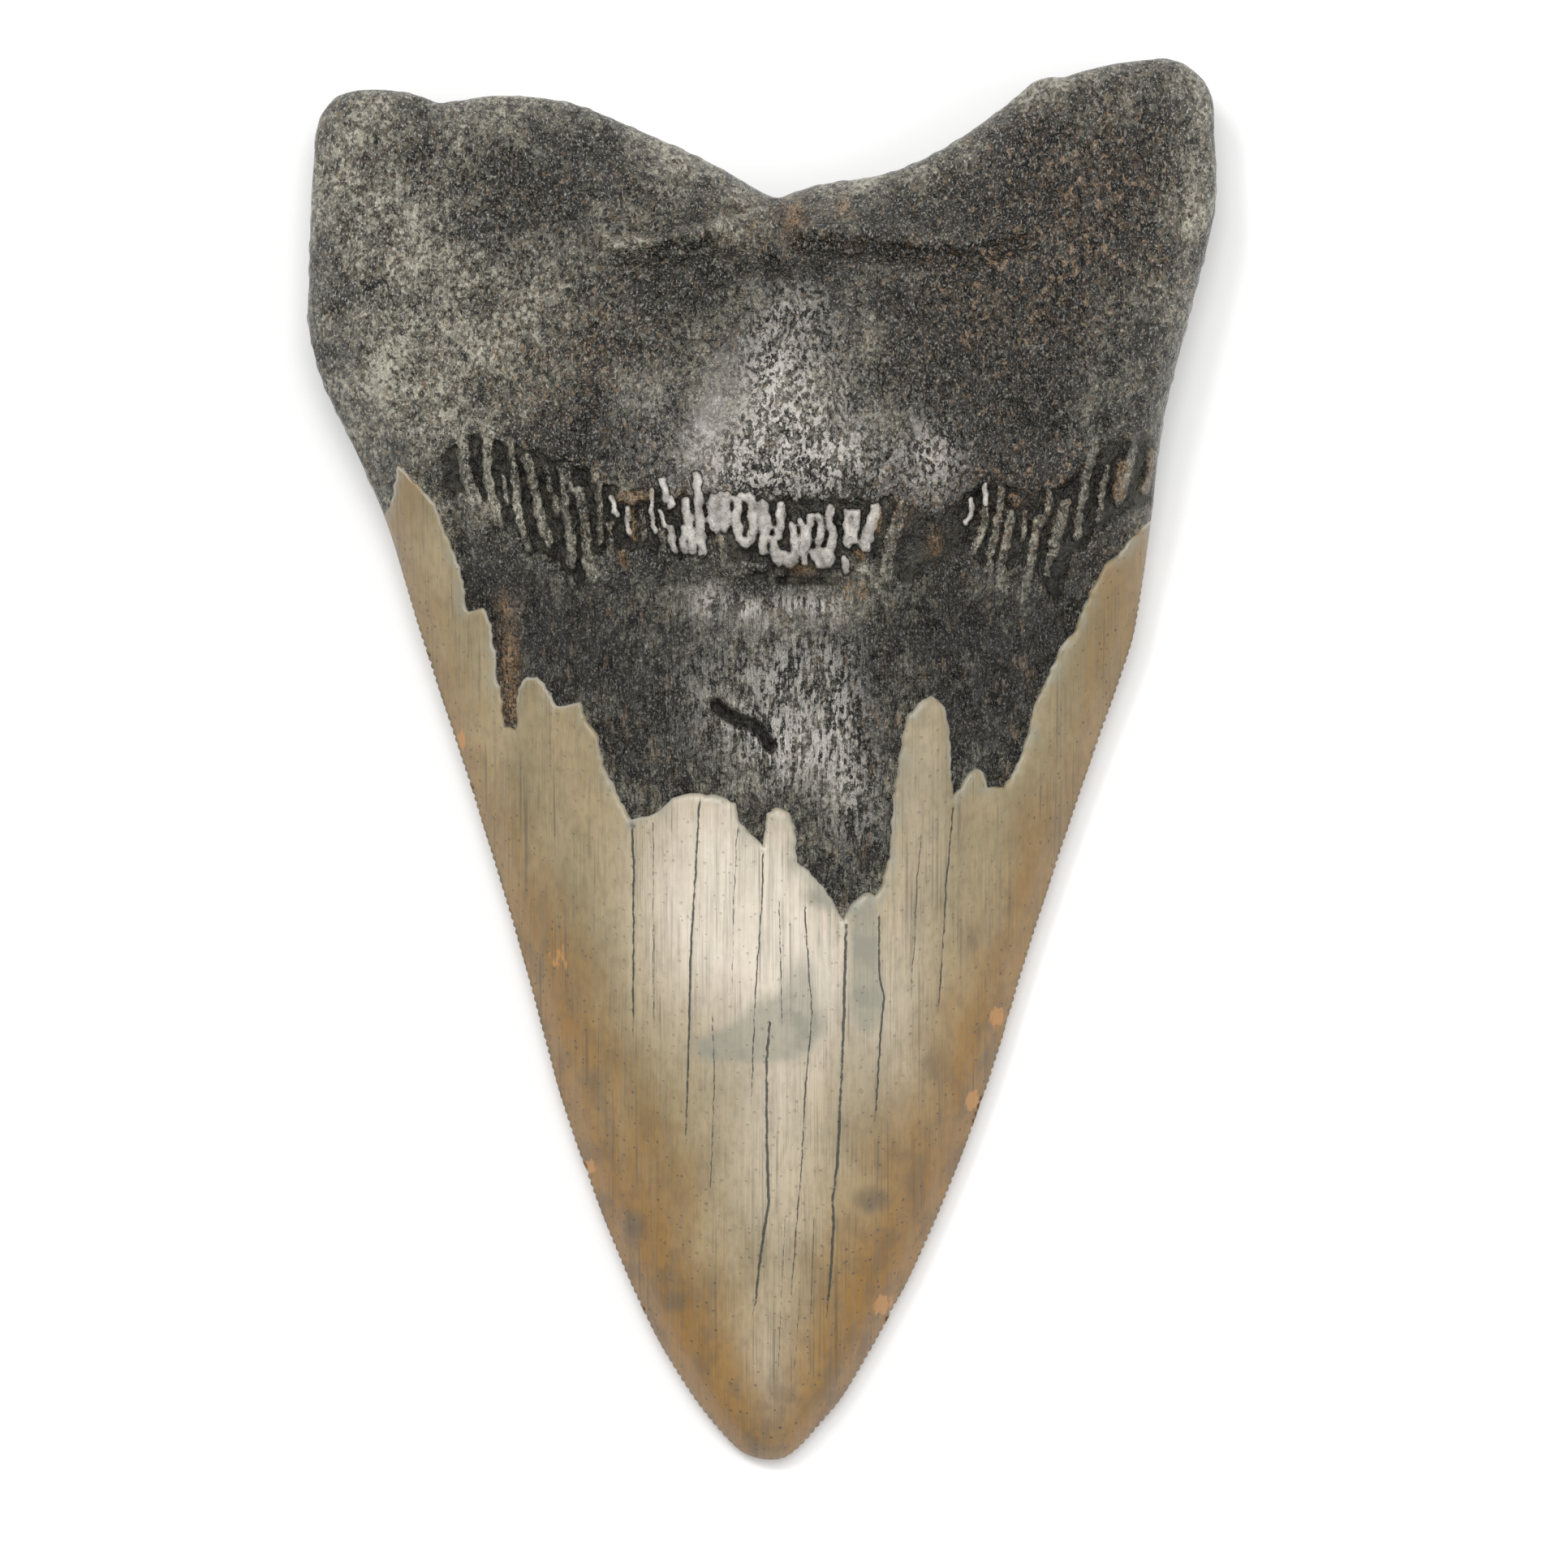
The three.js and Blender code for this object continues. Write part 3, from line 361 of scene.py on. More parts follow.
RUST = [
    (-25.0, 15.0, 0.7, 1.2, 0.5), (-24.4, 9.5, 0.8, 4.0, 0.7), (-24.2, 5.0, 0.6, 1.2, 0.7),
    (-19.7, -19.5, 1.2, 1.2, 0.7), (23.2, -25.3, 0.9, 1.1, 1.0), (20.8, -33.5, 0.8, 1.3, 1.0),
    (11.9, -53.4, 1.1, 1.2, 1.0), (-16.7, -40.0, 0.8, 0.8, 0.8), (-29.4, 2.0, 0.6, 1.2, 0.8),
    (3.2, 53.0, 0.8, 1.8, 0.6), (8.0, 53.6, 0.6, 0.9, 0.6), (4.0, 18.2, 1.2, 0.5, 0.5),
]
LABIAL_PALE = [(-36.0, 48.0, 8.0, 14.0, 0.7), (38.0, 46.0, 6.0, 14.0, 0.7), (0.0, 46.0, 16.0, 6.0, 0.4)]
LABIAL_BLACK = [(-20.0, 40.0, 12.0, 9.0, 0.7), (22.0, 40.0, 12.0, 9.0, 0.7)]
LABIAL_IVORY_SHIFT = 6
LABIAL_STAIN = [(-6.0, -12.0, 3.0, 6.0, 0.6), (7.0, -30.0, 2.5, 6.0, 0.5), (2.0, 12.0, 5.0, 4.0, 0.4)]

ROOT_BLACK_COLOUR = (0.012, 0.0115, 0.0095)
ROOT_GREY_COLOUR = (0.108, 0.102, 0.077)
ROOT_BROWN_COLOUR = (0.13, 0.085, 0.048)
ROOT_PALE_COLOUR = (0.40, 0.38, 0.30)
ROOT_PIT_COLOUR = (0.010, 0.0095, 0.008)
ROOT_WORN_AND_HIGHLIGHT_COLOUR = (0.58, 0.55, 0.50)
ROOT_GLINT_COLOUR = (0.62, 0.60, 0.54)
ROOT_TAN_COLOUR = (0.30, 0.20, 0.115)
# Colour of the painted sheen, also used as painted shade on the ridges' flanks
SHEEN_COLOUR = (0.30, 0.275, 0.25)
BAND_COLOUR = (0.065, 0.058, 0.040)
# Painted shade of the furrows and of the slits beside the ridges
FURROW_SHADE_COLOUR = (0.007, 0.006, 0.0045)
RUST_COLOUR = (0.34, 0.20, 0.09)
ENAMEL_IVORY_COLOUR = (0.70, 0.62, 0.51)
ENAMEL_BEIGE_COLOUR = (0.365, 0.282, 0.155)
ENAMEL_OLIVE_COLOUR = (0.255, 0.200, 0.104)
ENAMEL_BROWN_COLOUR = (0.29, 0.145, 0.026)
ENAMEL_UMBER_COLOUR = (0.13, 0.09, 0.05)
ENAMEL_STREAK_COLOUR = (0.20, 0.195, 0.155)
ENAMEL_LINE_COLOUR = (0.06, 0.062, 0.05)
ENAMEL_STAIN_COLOUR = (0.24, 0.235, 0.185)
ENAMEL_BORDER_COLOUR = (0.27, 0.27, 0.215)
ENAMEL_RUST_COLOUR = (0.48, 0.235, 0.07)
ENAMEL_LIP_COLOUR = (0.50, 0.47, 0.40)
CRACK_AND_FOOT_SHADE_COLOUR = (0.032, 0.035, 0.03)
ROOT_IOR = 1.46

# Grain of the root: sizes and heights in millimetres
GRAIN = {
    "Lump size": 1.2, "Lump height": 0.42, "Pit size": 1.4, "Pit depth": 0.16, "Fibre size": 0.9,
    "Fibre stretch": 5.0, "Fibre height": 0.22, "Seed": 4.0,
}

# Surroundings, with lengths in metres
FLOOR_SIZE = 8.0
FLOOR_Z = -0.00012
FLOOR_COLOUR = (0.93, 0.93, 0.93)
FLOOR_ROUGHNESS = 0.9
FLOOR_SPECULAR = 0.2
ROOM_LIGHT = 0.52
LIGHTS = [
    dict(name="softbox", place=(0.05, 0.4, 1.5), target=(0, 0, 0), size=(0.7, 0.7), watts=10.5),
    dict(name="key", place=(-0.42, 0.5, 1.1), target=(0, 0, 0), size=(0.3, 0.3), watts=5),
    dict(name="fill", place=(0.8, -0.1, 0.8), target=(0, 0, 0), size=(0.5, 0.5), watts=2),
]
CAMERA_LENS = 200
CAMERA_SENSOR = 36
CAMERA_PLACE = (0.002153, -0.002189, 0.8587)
CAMERA_RANGE = (0.01, 20)

# Spacing of the surface's points, fine over the ridges and coarse on the smooth enamel
RIDGE_SPACING = 0.2
ROOT_SPACING = 0.33
CROWN_SPACING = 0.6
LABIAL_SPACING = 0.95
RIM_STEP_CROWN = 0.152
RIM_STEP_ROOT = 0.34
LINE_STEP = 0.3
OUTLINE_STEP = 0.05
FINE_STEP = 0.1
COARSE_STEP = 0.5
CROWN_RINGS = [(0.42, 0.2), (0.85, 0.38)]
ROOT_RINGS = [(0.07, 0.34), (0.22, 0.34), (0.48, 0.34), (0.82, 0.34)]
LABIAL_RINGS = [(0.1, 0.4), (0.42, 0.5), (1.0, 0.7)]
RING_ZONE = 1.05
RING_CLEARANCE = {"crown": 0.08, "root": 0.06, "labial": 0.09}
GRID_CLEARANCE = 0.55
SHOULDER_CLEARANCE = dict(line=0.9, outline=0.5)
CRACK_CLEARANCE = 0.7
RIDGE_FIELD = dict(below_foot=1.2, above_top=0.9, x=(-31.5, 39))
# A distance that is well outside the tooth
FAR = 200


# Small maths

def smooth(low, high, v):
    t = np.clip((v - low) / (high - low), 0, 1)
    return t * t * (3 - 2 * t)


def mix(a, b, t):
    return a + (b - a) * t


def bell(dx, dy, radius_x, radius_y):
    return np.exp(-((dx / radius_x) ** 2) - (dy / radius_y) ** 2)


def quarter_round(q):
    return np.sqrt(np.clip(1 - (1 - q) ** 2, 0, 1))


def parabola(q):
    return q * (2 - q)


def along(knots, place):
    """A smooth curve through pairs of place and value."""
    xs, ys = np.array(knots, float).T
    slopes = np.empty_like(ys)
    slopes[1:-1] = (ys[2:] - ys[:-2]) / (xs[2:] - xs[:-2])
    slopes[0] = (ys[1] - ys[0]) / (xs[1] - xs[0])
    slopes[-1] = (ys[-1] - ys[-2]) / (xs[-1] - xs[-2])
    v = np.clip(place, xs[0], xs[-1])
    i = np.clip(np.searchsorted(xs, v) - 1, 0, len(xs) - 2)
    step = xs[i + 1] - xs[i]
    t = (v - xs[i]) / step
    bend = step * (slopes[i] * t * (1 - t) ** 2 - slopes[i + 1] * t * t * (1 - t))
    return mix(ys[i], ys[i + 1], t * t * (3 - 2 * t)) + bend


def profile(knots, place):
    """A broken line through pairs of place and value."""
    return np.interp(place, *zip(*knots))


def waves(x, y, seed, length, height=1, layers=5, squeeze=1):
    """Soft seeded noise of about the given height, with waves of the given length, squeezed along Y."""
    rng = np.random.default_rng(seed)
    y = squeeze * y
    total = np.zeros_like(x)
    for _ in range(layers):
        angle, phase = rng.uniform(0, 2 * np.pi, 2)
        turn = 2 * np.pi * rng.uniform(0.6, 1.5) / length
        total += np.sin(turn * (np.cos(angle) * x + np.sin(angle) * y) + phase)
    return height * (total / layers ** 0.5)


def patches(places, x, y):
    """The sum of soft round patches, each given as x, y, radius across, radius along and strength."""
    total = np.zeros_like(x)
    for px, py, radius_x, radius_y, strength in places:
        total += strength * bell(x - px, y - py, radius_x, radius_y)
    return np.clip(total, 0, 1)


# Paths in plan

def resample(path, step):
    """Points at even steps along a broken line, both ends kept."""
    path = np.array(path, float)
    lengths = np.concatenate([[0], np.cumsum(np.hypot(*np.diff(path, axis=0).T))])
    count = max(int(round(lengths[-1] / step)), 1)
    places = np.linspace(0, lengths[-1], count + 1)
    return np.stack([np.interp(places, lengths, path[:, axis]) for axis in (0, 1)], -1)


def closed_curve(points, per_span=60):
    """A centripetal Catmull-Rom loop through the points."""
    p = np.array(points, float)
    spans = []
    for i in range(len(p)):
        a, b, c, d = (p[(i + k) % len(p)] for k in (-1, 0, 1, 2))
        t0 = 0.0
        t1 = t0 + np.hypot(*(b - a)) ** 0.5
        t2 = t1 + np.hypot(*(c - b)) ** 0.5
        t3 = t2 + np.hypot(*(d - c)) ** 0.5
        t = np.linspace(t1, t2, per_span, endpoint=False)[:, None]
        ab = a * (t1 - t) / (t1 - t0) + b * (t - t0) / (t1 - t0)
        bc = b * (t2 - t) / (t2 - t1) + c * (t - t1) / (t2 - t1)
        cd = c * (t3 - t) / (t3 - t2) + d * (t - t2) / (t3 - t2)
        abc = ab * (t2 - t) / (t2 - t0) + bc * (t - t0) / (t2 - t0)
        bcd = bc * (t3 - t) / (t3 - t1) + cd * (t - t1) / (t3 - t1)
        spans.append(abc * (t2 - t) / (t2 - t1) + bcd * (t - t1) / (t2 - t1))
    return np.concatenate(spans)


def sideways(path):
    """The unit normal on the left of a broken line, at each of its points."""
    tangent = np.gradient(path, axis=0)
    tangent /= np.hypot(*tangent.T)[:, None]
    return np.stack([-tangent[:, 1], tangent[:, 0]], -1)


def kd_tree(points):
    tree = KDTree(len(points))
    for i, (x, y) in enumerate(points):
        tree.insert((x, y, 0), i)
    tree.balance()
    return tree


def distance_to(path, points):
    """Exact distance from points to a finely stepped broken line, and the place of the nearest step."""
    tree = kd_tree(path)
    near = np.array([tree.find((x, y, 0))[1] for x, y in points], int)
    best = np.full(len(points), np.inf)
    for start in (near - 1, near):
        a = path[np.clip(start, 0, len(path) - 2)]
        b = path[np.clip(start + 1, 1, len(path) - 1)]
        run = b - a
        t = np.clip(((points - a) * run).sum(1) / np.maximum((run * run).sum(1), 1e-12), 0, 1)
        best = np.minimum(best, np.hypot(*(points - a - t[:, None] * run).T))
    return best, near


def is_inside(points, polygon):
    """Even-odd test of points against a closed polygon."""
    inside = np.zeros(len(points), bool)
    x, y = points[:, 0], points[:, 1]
    for (ax, ay), (bx, by) in zip(polygon, np.roll(polygon, -1, axis=0)):
        if ay != by:
            crosses = (ay > y) != (by > y)
            inside ^= crosses & (x < (bx - ax) * (y - ay) / (by - ay) + ax)
    return inside


def hex_grid(spacing):
    """Points of an even triangular grid over the outline's box."""
    (x0, y0), (x1, y1) = outline.min(0), outline.max(0)
    rows = np.arange(y0, y1, spacing * 0.75 ** 0.5)
    columns = np.arange(x0, x1, spacing)
    grid = np.stack(np.meshgrid(columns, rows), -1)
    grid[1::2, :, 0] += 0.5 * spacing
    return grid.reshape(-1, 2)


outline = closed_curve(LEFT_MARGIN + TIP + RIGHT_MARGIN + ROOT_TOP)
outline = resample(np.vstack([outline, outline[:1]]), OUTLINE_STEP)
outline_length = OUTLINE_STEP * (len(outline) - 1)
outline_inward = sideways(outline)


def outline_point(place, inset):
    """The outline's points at places along it in millimetres, moved inwards."""
    at = np.mod(place, outline_length) / OUTLINE_STEP
    steps = np.arange(len(outline))
    x, y = (np.interp(at, steps, outline[:, axis]) for axis in (0, 1))
    nx, ny = (np.interp(at, steps, outline_inward[:, axis]) for axis in (0, 1))
    return np.stack([x + nx * inset, y + ny * inset], -1)


def outline_place(point):
    return OUTLINE_STEP * np.hypot(*(outline - point).T).argmin()


left_end = outline_place(LINGUAL_ENAMEL_LINE[0])
right_end = outline_place(LINGUAL_ENAMEL_LINE[-1])
tip_place = outline_place(TIP_POINT)


def ragged(line, amount, seed, step=0.5):
    """A broken line in short steps, roughened a little sideways, with both ends kept."""
    path = resample(line, step)
    rng = np.random.default_rng(seed)
    push = rng.uniform(-amount, amount, len(path))
    push[[0, -1]] = 0
    return path + sideways(path) * push[:, None]


enamel_line = {
    "lingual": ragged(LINGUAL_ENAMEL_LINE, ENAMEL_LINE_WANDER["lingual"], SEED),
    "labial": ragged(LABIAL_ENAMEL_LINE, ENAMEL_LINE_WANDER["labial"], SEED + 1),
}


def enamel_distance(side, points):
    """Distance from the enamel's upper end, positive on the crown's side."""
    line = enamel_line[side]
    distance, _ = distance_to(resample(line, FINE_STEP), points)
    crown = np.vstack([line, [(FAR, line[-1][1]), (FAR, -FAR), (-FAR, -FAR), (-FAR, line[0][1])]])
    return np.where(is_inside(points, crown), distance, -distance)


# Heights of the two faces

def rim_height(y):
    return along(RIM_HEIGHT, y)


def crown_half_width(y):
    return CROWN_HALF_WIDTH - CROWN_TAPER * np.maximum(CROWN_TOP_Y - y, 0)


def root_share(y):
    return smooth(*CROWN_TO_ROOT, y)


def root_lumps(x, y):
    total = np.zeros_like(x)
    for height, *crossing in ROOT_LUMPS:
        first, second = (np.sin(turns_x * x + turns_y * y + phase) for turns_x, turns_y, phase in crossing)
        total += height * first * second
    return total


def root_height(x, y):
    reach = np.where(y > BULGE["y"], BULGE["towards_notch"], BULGE["towards_crown"])
    lobes = mix(LOBE_HEIGHT_LEFT, LOBE_HEIGHT_RIGHT, smooth(*LOBE_CHANGE, x))
    lobes -= LOBE_END_DROP * smooth(*LOBE_END, y)
    bulge = BULGE["height"] * bell(x - BULGE["x"], y - BULGE["y"], BULGE["half_width"], reach)
    boss = BOSS["height"] * bell(x - BOSS["x"], y - BOSS["y"], BOSS["half_width"], BOSS["half_length"])
    return lobes + bulge + boss + root_lumps(x, y)


def lingual_form(x, y, depth):
    """Height of the bare lingual face, without enamel or fine relief."""
    rim = rim_height(y)
    crown_reach = CROWN_SHOULDER * crown_half_width(y)
    crown = (along(SPINE_HEIGHT, y) - rim) * parabola(np.minimum(depth / crown_reach, 1))
    root = (root_height(x, y) - rim) * quarter_round(np.minimum(depth / ROOT_SHOULDER, 1))
    z = rim + mix(crown, root, root_share(y))
    points = np.stack([x, y], -1)
    off_rim = smooth(0, CREASE_FADE, depth)
    for crease in CREASES:
        across, _ = distance_to(resample(crease["path"], CREASE_STEP), points)
        z += crease["height"] * np.exp(-((across / crease["half_width"]) ** 2)) * off_rim
    bevel = rim + LEFT_BEVEL["lip"] + LEFT_BEVEL["slope"] * depth
    window = smooth(*LEFT_BEVEL["begins"], y) * (1 - smooth(*LEFT_BEVEL["ends"], y))
    window *= x < LEFT_BEVEL["x"]
    return mix(z, np.minimum(z, bevel), window)


def labial_form(x, y, depth):
    """Height of the bare labial face, flat in the middle of the crown and under the lobes."""
    rim = rim_height(y)
    crown_reach = CROWN_SOLE["half_width"] * crown_half_width(y)
    crown = mix(rim, CROWN_SOLE["height"], parabola(np.minimum(depth / crown_reach, 1)))
    radius = SOLE_HOLLOW["radius"]
    hollow = SOLE_HOLLOW["height"] * bell(x - SOLE_HOLLOW["x"], y - SOLE_HOLLOW["y"], radius, radius)
    sole = SOLE_CONTACT + SOLE_STEP["height"] * (1 - smooth(*SOLE_STEP["begins"], y)) + hollow
    root = mix(rim, sole, quarter_round(np.minimum(depth / SOLE_SHOULDER, 1)))
    return mix(crown, root, root_share(y))


def enamel_rise(side, enamel, depth):
    """Thickness of the enamel by the distance inside its upper end and inside the margin."""
    reach, share = zip(*ENAMEL_LIP[side])
    return ENAMEL_THICKNESS * np.interp(enamel, reach, share) * smooth(0, ENAMEL_MARGIN, depth)


def band_share(x, y):
    """How far each point belongs to the neck's sunk band, from 0 outside it to 1."""
    top = profile(BAND_TOP, x) + waves(x, 0 * x, SEED + 6, **BAND_TOP_WAVER)
    foot = profile(BAND_FOOT, x) + waves(x, 0 * x, SEED + 8, **BAND_FOOT_WAVER)
    ends = smooth(*BAND_LEFT_END, x) * smooth(*BAND_RIGHT_END, x)
    soft = profile(BAND_TOP_SOFTNESS, x)
    return smooth(soft, -soft, y - top) * smooth(*BAND_FOOT_SOFTNESS, y - foot) * ends


def distance_to_spans(path, x, y):
    """Distance from points to a broken line of few spans."""
    best = np.full(len(x), np.inf)
    for (ax, ay), (bx, by) in zip(path, path[1:]):
        run_x, run_y = bx - ax, by - ay
        t = np.clip(((x - ax) * run_x + (y - ay) * run_y) / (run_x ** 2 + run_y ** 2), 0, 1)
        best = np.minimum(best, np.hypot(x - ax - t * run_x, y - ay - t * run_y))
    return best


def trough(path, half_width, x, y):
    """How near each point is to a broken line, from 0 far from it to 1 on it, falling off as a bell."""
    return np.exp(-((distance_to_spans(path, x, y) / half_width) ** 2))


def ridge_share(ridges, x, y, growth=1):
    """How far each point lies on a ridge, from 0 beside it to 1, and how near it is to the crest."""
    share, crest = np.zeros_like(x), np.zeros_like(x)
    reach = RIDGE_REACH
    for width, path in ridges:
        half = 0.5 * width * growth + RIDGE_MARGIN
        outer, inner = (half + edge for edge in RIDGE_EDGE)
        xs, ys = zip(*path)
        near = (x > min(xs) - reach) & (x < max(xs) + reach) & (y > min(ys) - reach) & (y < max(ys) + reach)
        away = distance_to_spans(path, x[near], y[near]) + waves(x[near], y[near], SEED + 7, **RIDGE_WAVER)
        share[near] = np.maximum(share[near], smooth(outer, inner, away))
        crest[near] = np.maximum(crest[near], np.clip(1 - (away / (half - RIDGE_EDGE[1])) ** 2, 0, 1))
    return share, crest


def slot_relief(x, y):
    """Depth share of the slot in the neck, and of the lip that stands up round it."""
    away = distance_to_spans(SLOT, x, y)
    lip = np.exp(-(((away - SLOT_LIP["at"] * SLOT_HALF_WIDTH) / SLOT_LIP["half_width"]) ** 2))
    return np.exp(-((away / SLOT_HALF_WIDTH) ** 4)), lip


def crack_relief(cracks, points):
    """How near each point is to the middle of a crack, from 0 beside it to 1."""
    worst = np.zeros(len(points))
    for width, path in cracks:
        half = 0.5 * width + CRACK_EDGE
        low, high = path.min(0) - 1, path.max(0) + 1
        near = np.flatnonzero(((points > low) & (points < high)).all(1))
        distance, step = distance_to(path, points[near])
        left = 1 - step / (len(path) - 1)
        strength = np.clip(width / CRACK_FULL_WIDTH, CRACK_LEAST_DEPTH, 1)
        strength = strength * smooth(0, CRACK_END_TAPER, left)
        worst[near] = np.maximum(worst[near], strength * np.clip(1 - distance / half, 0, 1))
    return worst


# The sheet of points on each face

class Sheet:
    """Points and fixed edges of one face of the tooth, triangulated together inside the rim."""

    def __init__(self, rim):
        self.rim = rim
        self.points = rim
        self.edges = [(i, (i + 1) % len(rim)) for i in range(len(rim))]

    def add_line(self, path, longest=1.2, start=None, end=None):
        """Adds a broken line as fixed edges, joined to rim points at its ends where they are given."""
        first = len(self.points)
        inner = path[(start is not None):len(path) - (end is not None)]
        self.points = np.vstack([self.points, inner])
        chain = list(range(first, first + len(inner)))
        gaps = np.hypot(*np.diff(inner, axis=0).T)
        self.edges += [(a, b) for a, b, gap in zip(chain, chain[1:], gaps) if gap < longest]
        if start is not None:
            self.edges.append((start, chain[0]))
        if end is not None:
            self.edges.append((chain[-1], end))

    def add_points(self, points, clearance):
        """Adds the points that keep clear of all those already there."""
        tree = kd_tree(self.points)
        clear = [tree.find((x, y, 0))[2] > clearance for x, y in points]
        self.points = np.vstack([self.points, points[np.array(clear, bool)]])

    def triangulate(self):
        """The points with any where edges cross, and the triangles inside the rim, anticlockwise."""
        vectors = [Vector(p) for p in self.points.tolist()]
        flat, _, triangles, *_ = delaunay_2d_cdt(vectors, self.edges, [], 0, 1e-6, False)
        flat = np.array([tuple(p) for p in flat])
        triangles = np.array(triangles)
        on_rim = np.flatnonzero((triangles < len(self.rim)).all(1))
        outside = on_rim[~is_inside(flat[triangles[on_rim]].mean(1), self.rim)]
        return flat, np.delete(triangles, outside, axis=0)


def rim_loop():
    """The tooth's rim, serrated along the crown, and the index where the crown's stretch ends."""
    crown = np.linspace(left_end, right_end, int((right_end - left_end) / RIM_STEP_CROWN))
    rest = outline_length - right_end + left_end
    root = right_end + np.linspace(0, rest, int(rest / RIM_STEP_ROOT) + 1)[1:-1]
    place = np.concatenate([crown, root])
    scallop = 1 - np.abs(np.sin(np.pi * (place - left_end) / SERRATION_PITCH))
    from_end = np.minimum(place - left_end, right_end - place)
    size = smooth(0, SERRATION_FADE, from_end) * smooth(0, SERRATION_TIP_CLEAR, np.abs(place - tip_place))
    quick, slow = SERRATION_WEAR["turns"]
    swing = np.sin(quick * place) * np.sin(slow * place + 1)
    wear = SERRATION_WEAR["mean"] + SERRATION_WEAR["swing"] * swing
    inset = SERRATION_DEPTH * scallop * size * wear
    to_left_end = left_end + outline_length - place
    off_crown = smooth(0, ROOT_RIM_FADE, place - right_end) * smooth(0, ROOT_RIM_FADE, to_left_end)
    swell = waves(place, 0 * place, SEED + 10, **ROOT_RIM_SWELL)
    inset -= off_crown * np.clip(swell, 0, ROOT_RIM_SWELL["height"])
    middle = outline_point(place, 0)
    for x, y, reach in EDGE_CHIPS:
        inset += EDGE_CHIP_DEPTH * np.exp(-((np.hypot(*(middle - (x, y)).T) / reach) ** 2))
    return outline_point(place, inset), len(crown) - 1


def inner_rings(rings, from_place, to_place):
    return np.vstack([
        outline_point(np.arange(from_place + 0.5 * step, to_place, step), inset) for inset, step in rings
    ])


def crack_paths(cracks, seed):
    """Each crack as a finely stepped and slightly wandering line, with its width."""
    return [
        (width, resample(ragged(path, CRACK_WANDER, seed + n), FINE_STEP))
        for n, (width, path) in enumerate(cracks)
    ]


def add_enamel_edge(sheet, side, crown_end):
    """Lays the foot of the enamel's edge and the shoulders of its lip into the sheet."""
    line = enamel_line[side]
    sheet.add_line(line, start=0, end=crown_end)
    for reach, _ in ENAMEL_LIP[side][1:-1]:
        shoulder = resample(line, LINE_STEP)
        shoulder = shoulder - sideways(shoulder) * reach
        away = np.abs(enamel_distance(side, shoulder))
        depth, _ = distance_to(outline, shoulder)
        fits = (away > SHOULDER_CLEARANCE["line"] * reach) & (depth > SHOULDER_CLEARANCE["outline"])
        fits &= is_inside(shoulder, outline)
        sheet.add_line(shoulder[fits], longest=2 * LINE_STEP)


def add_cracks(sheet, cracks, side):
    for width, path in cracks:
        coarse = path[::round(COARSE_STEP / FINE_STEP)]
        for shift in (0, 1, -1):
            flank = coarse + sideways(coarse) * shift * (0.5 * width + CRACK_EDGE)
            sheet.add_line(flank[enamel_distance(side, flank) > CRACK_CLEARANCE])


def add_grid(sheet, spacing, wanted):
    """Fills part of the sheet with an even grid, clear of the rim and of what is already there."""
    grid = hex_grid(spacing)
    grid = grid[is_inside(grid, outline[::4])]
    grid = grid[wanted(grid)]
    depth, _ = distance_to(outline, grid)
    sheet.add_points(grid[depth > RING_ZONE], GRID_CLEARANCE * spacing)


def lingual_sheet(rim, crown_end, cracks):
    sheet = Sheet(rim)
    root_end = left_end + outline_length
    sheet.add_points(inner_rings(CROWN_RINGS, left_end, right_end), RING_CLEARANCE["crown"])
    sheet.add_points(inner_rings(ROOT_RINGS, right_end, root_end), RING_CLEARANCE["root"])
    add_enamel_edge(sheet, "lingual", crown_end)
    add_cracks(sheet, cracks, "lingual")

    def on_ridges(p):
        x, y = p.T
        low = profile(BAND_FOOT, x) - RIDGE_FIELD["below_foot"]
        high = profile(BAND_TOP, x) + RIDGE_FIELD["above_top"]
        left, right = RIDGE_FIELD["x"]
        return (y > low) & (y < high) & (x > left) & (x < right)

    add_grid(sheet, RIDGE_SPACING, on_ridges)
    add_grid(sheet, ROOT_SPACING, lambda p: ~on_ridges(p) & (enamel_distance("lingual", p) < 0))
    add_grid(sheet, CROWN_SPACING, lambda p: enamel_distance("lingual", p) > 0)
    return sheet.triangulate()


def labial_sheet(rim, crown_end, cracks):
    sheet = Sheet(rim)
    sheet.add_points(inner_rings(LABIAL_RINGS, 0, outline_length), RING_CLEARANCE["labial"])
    add_enamel_edge(sheet, "labial", crown_end)
    add_cracks(sheet, cracks, "labial")
    add_grid(sheet, LABIAL_SPACING, lambda p: np.ones(len(p), bool))
    return sheet.triangulate()


# Height and surface marks of each face's points

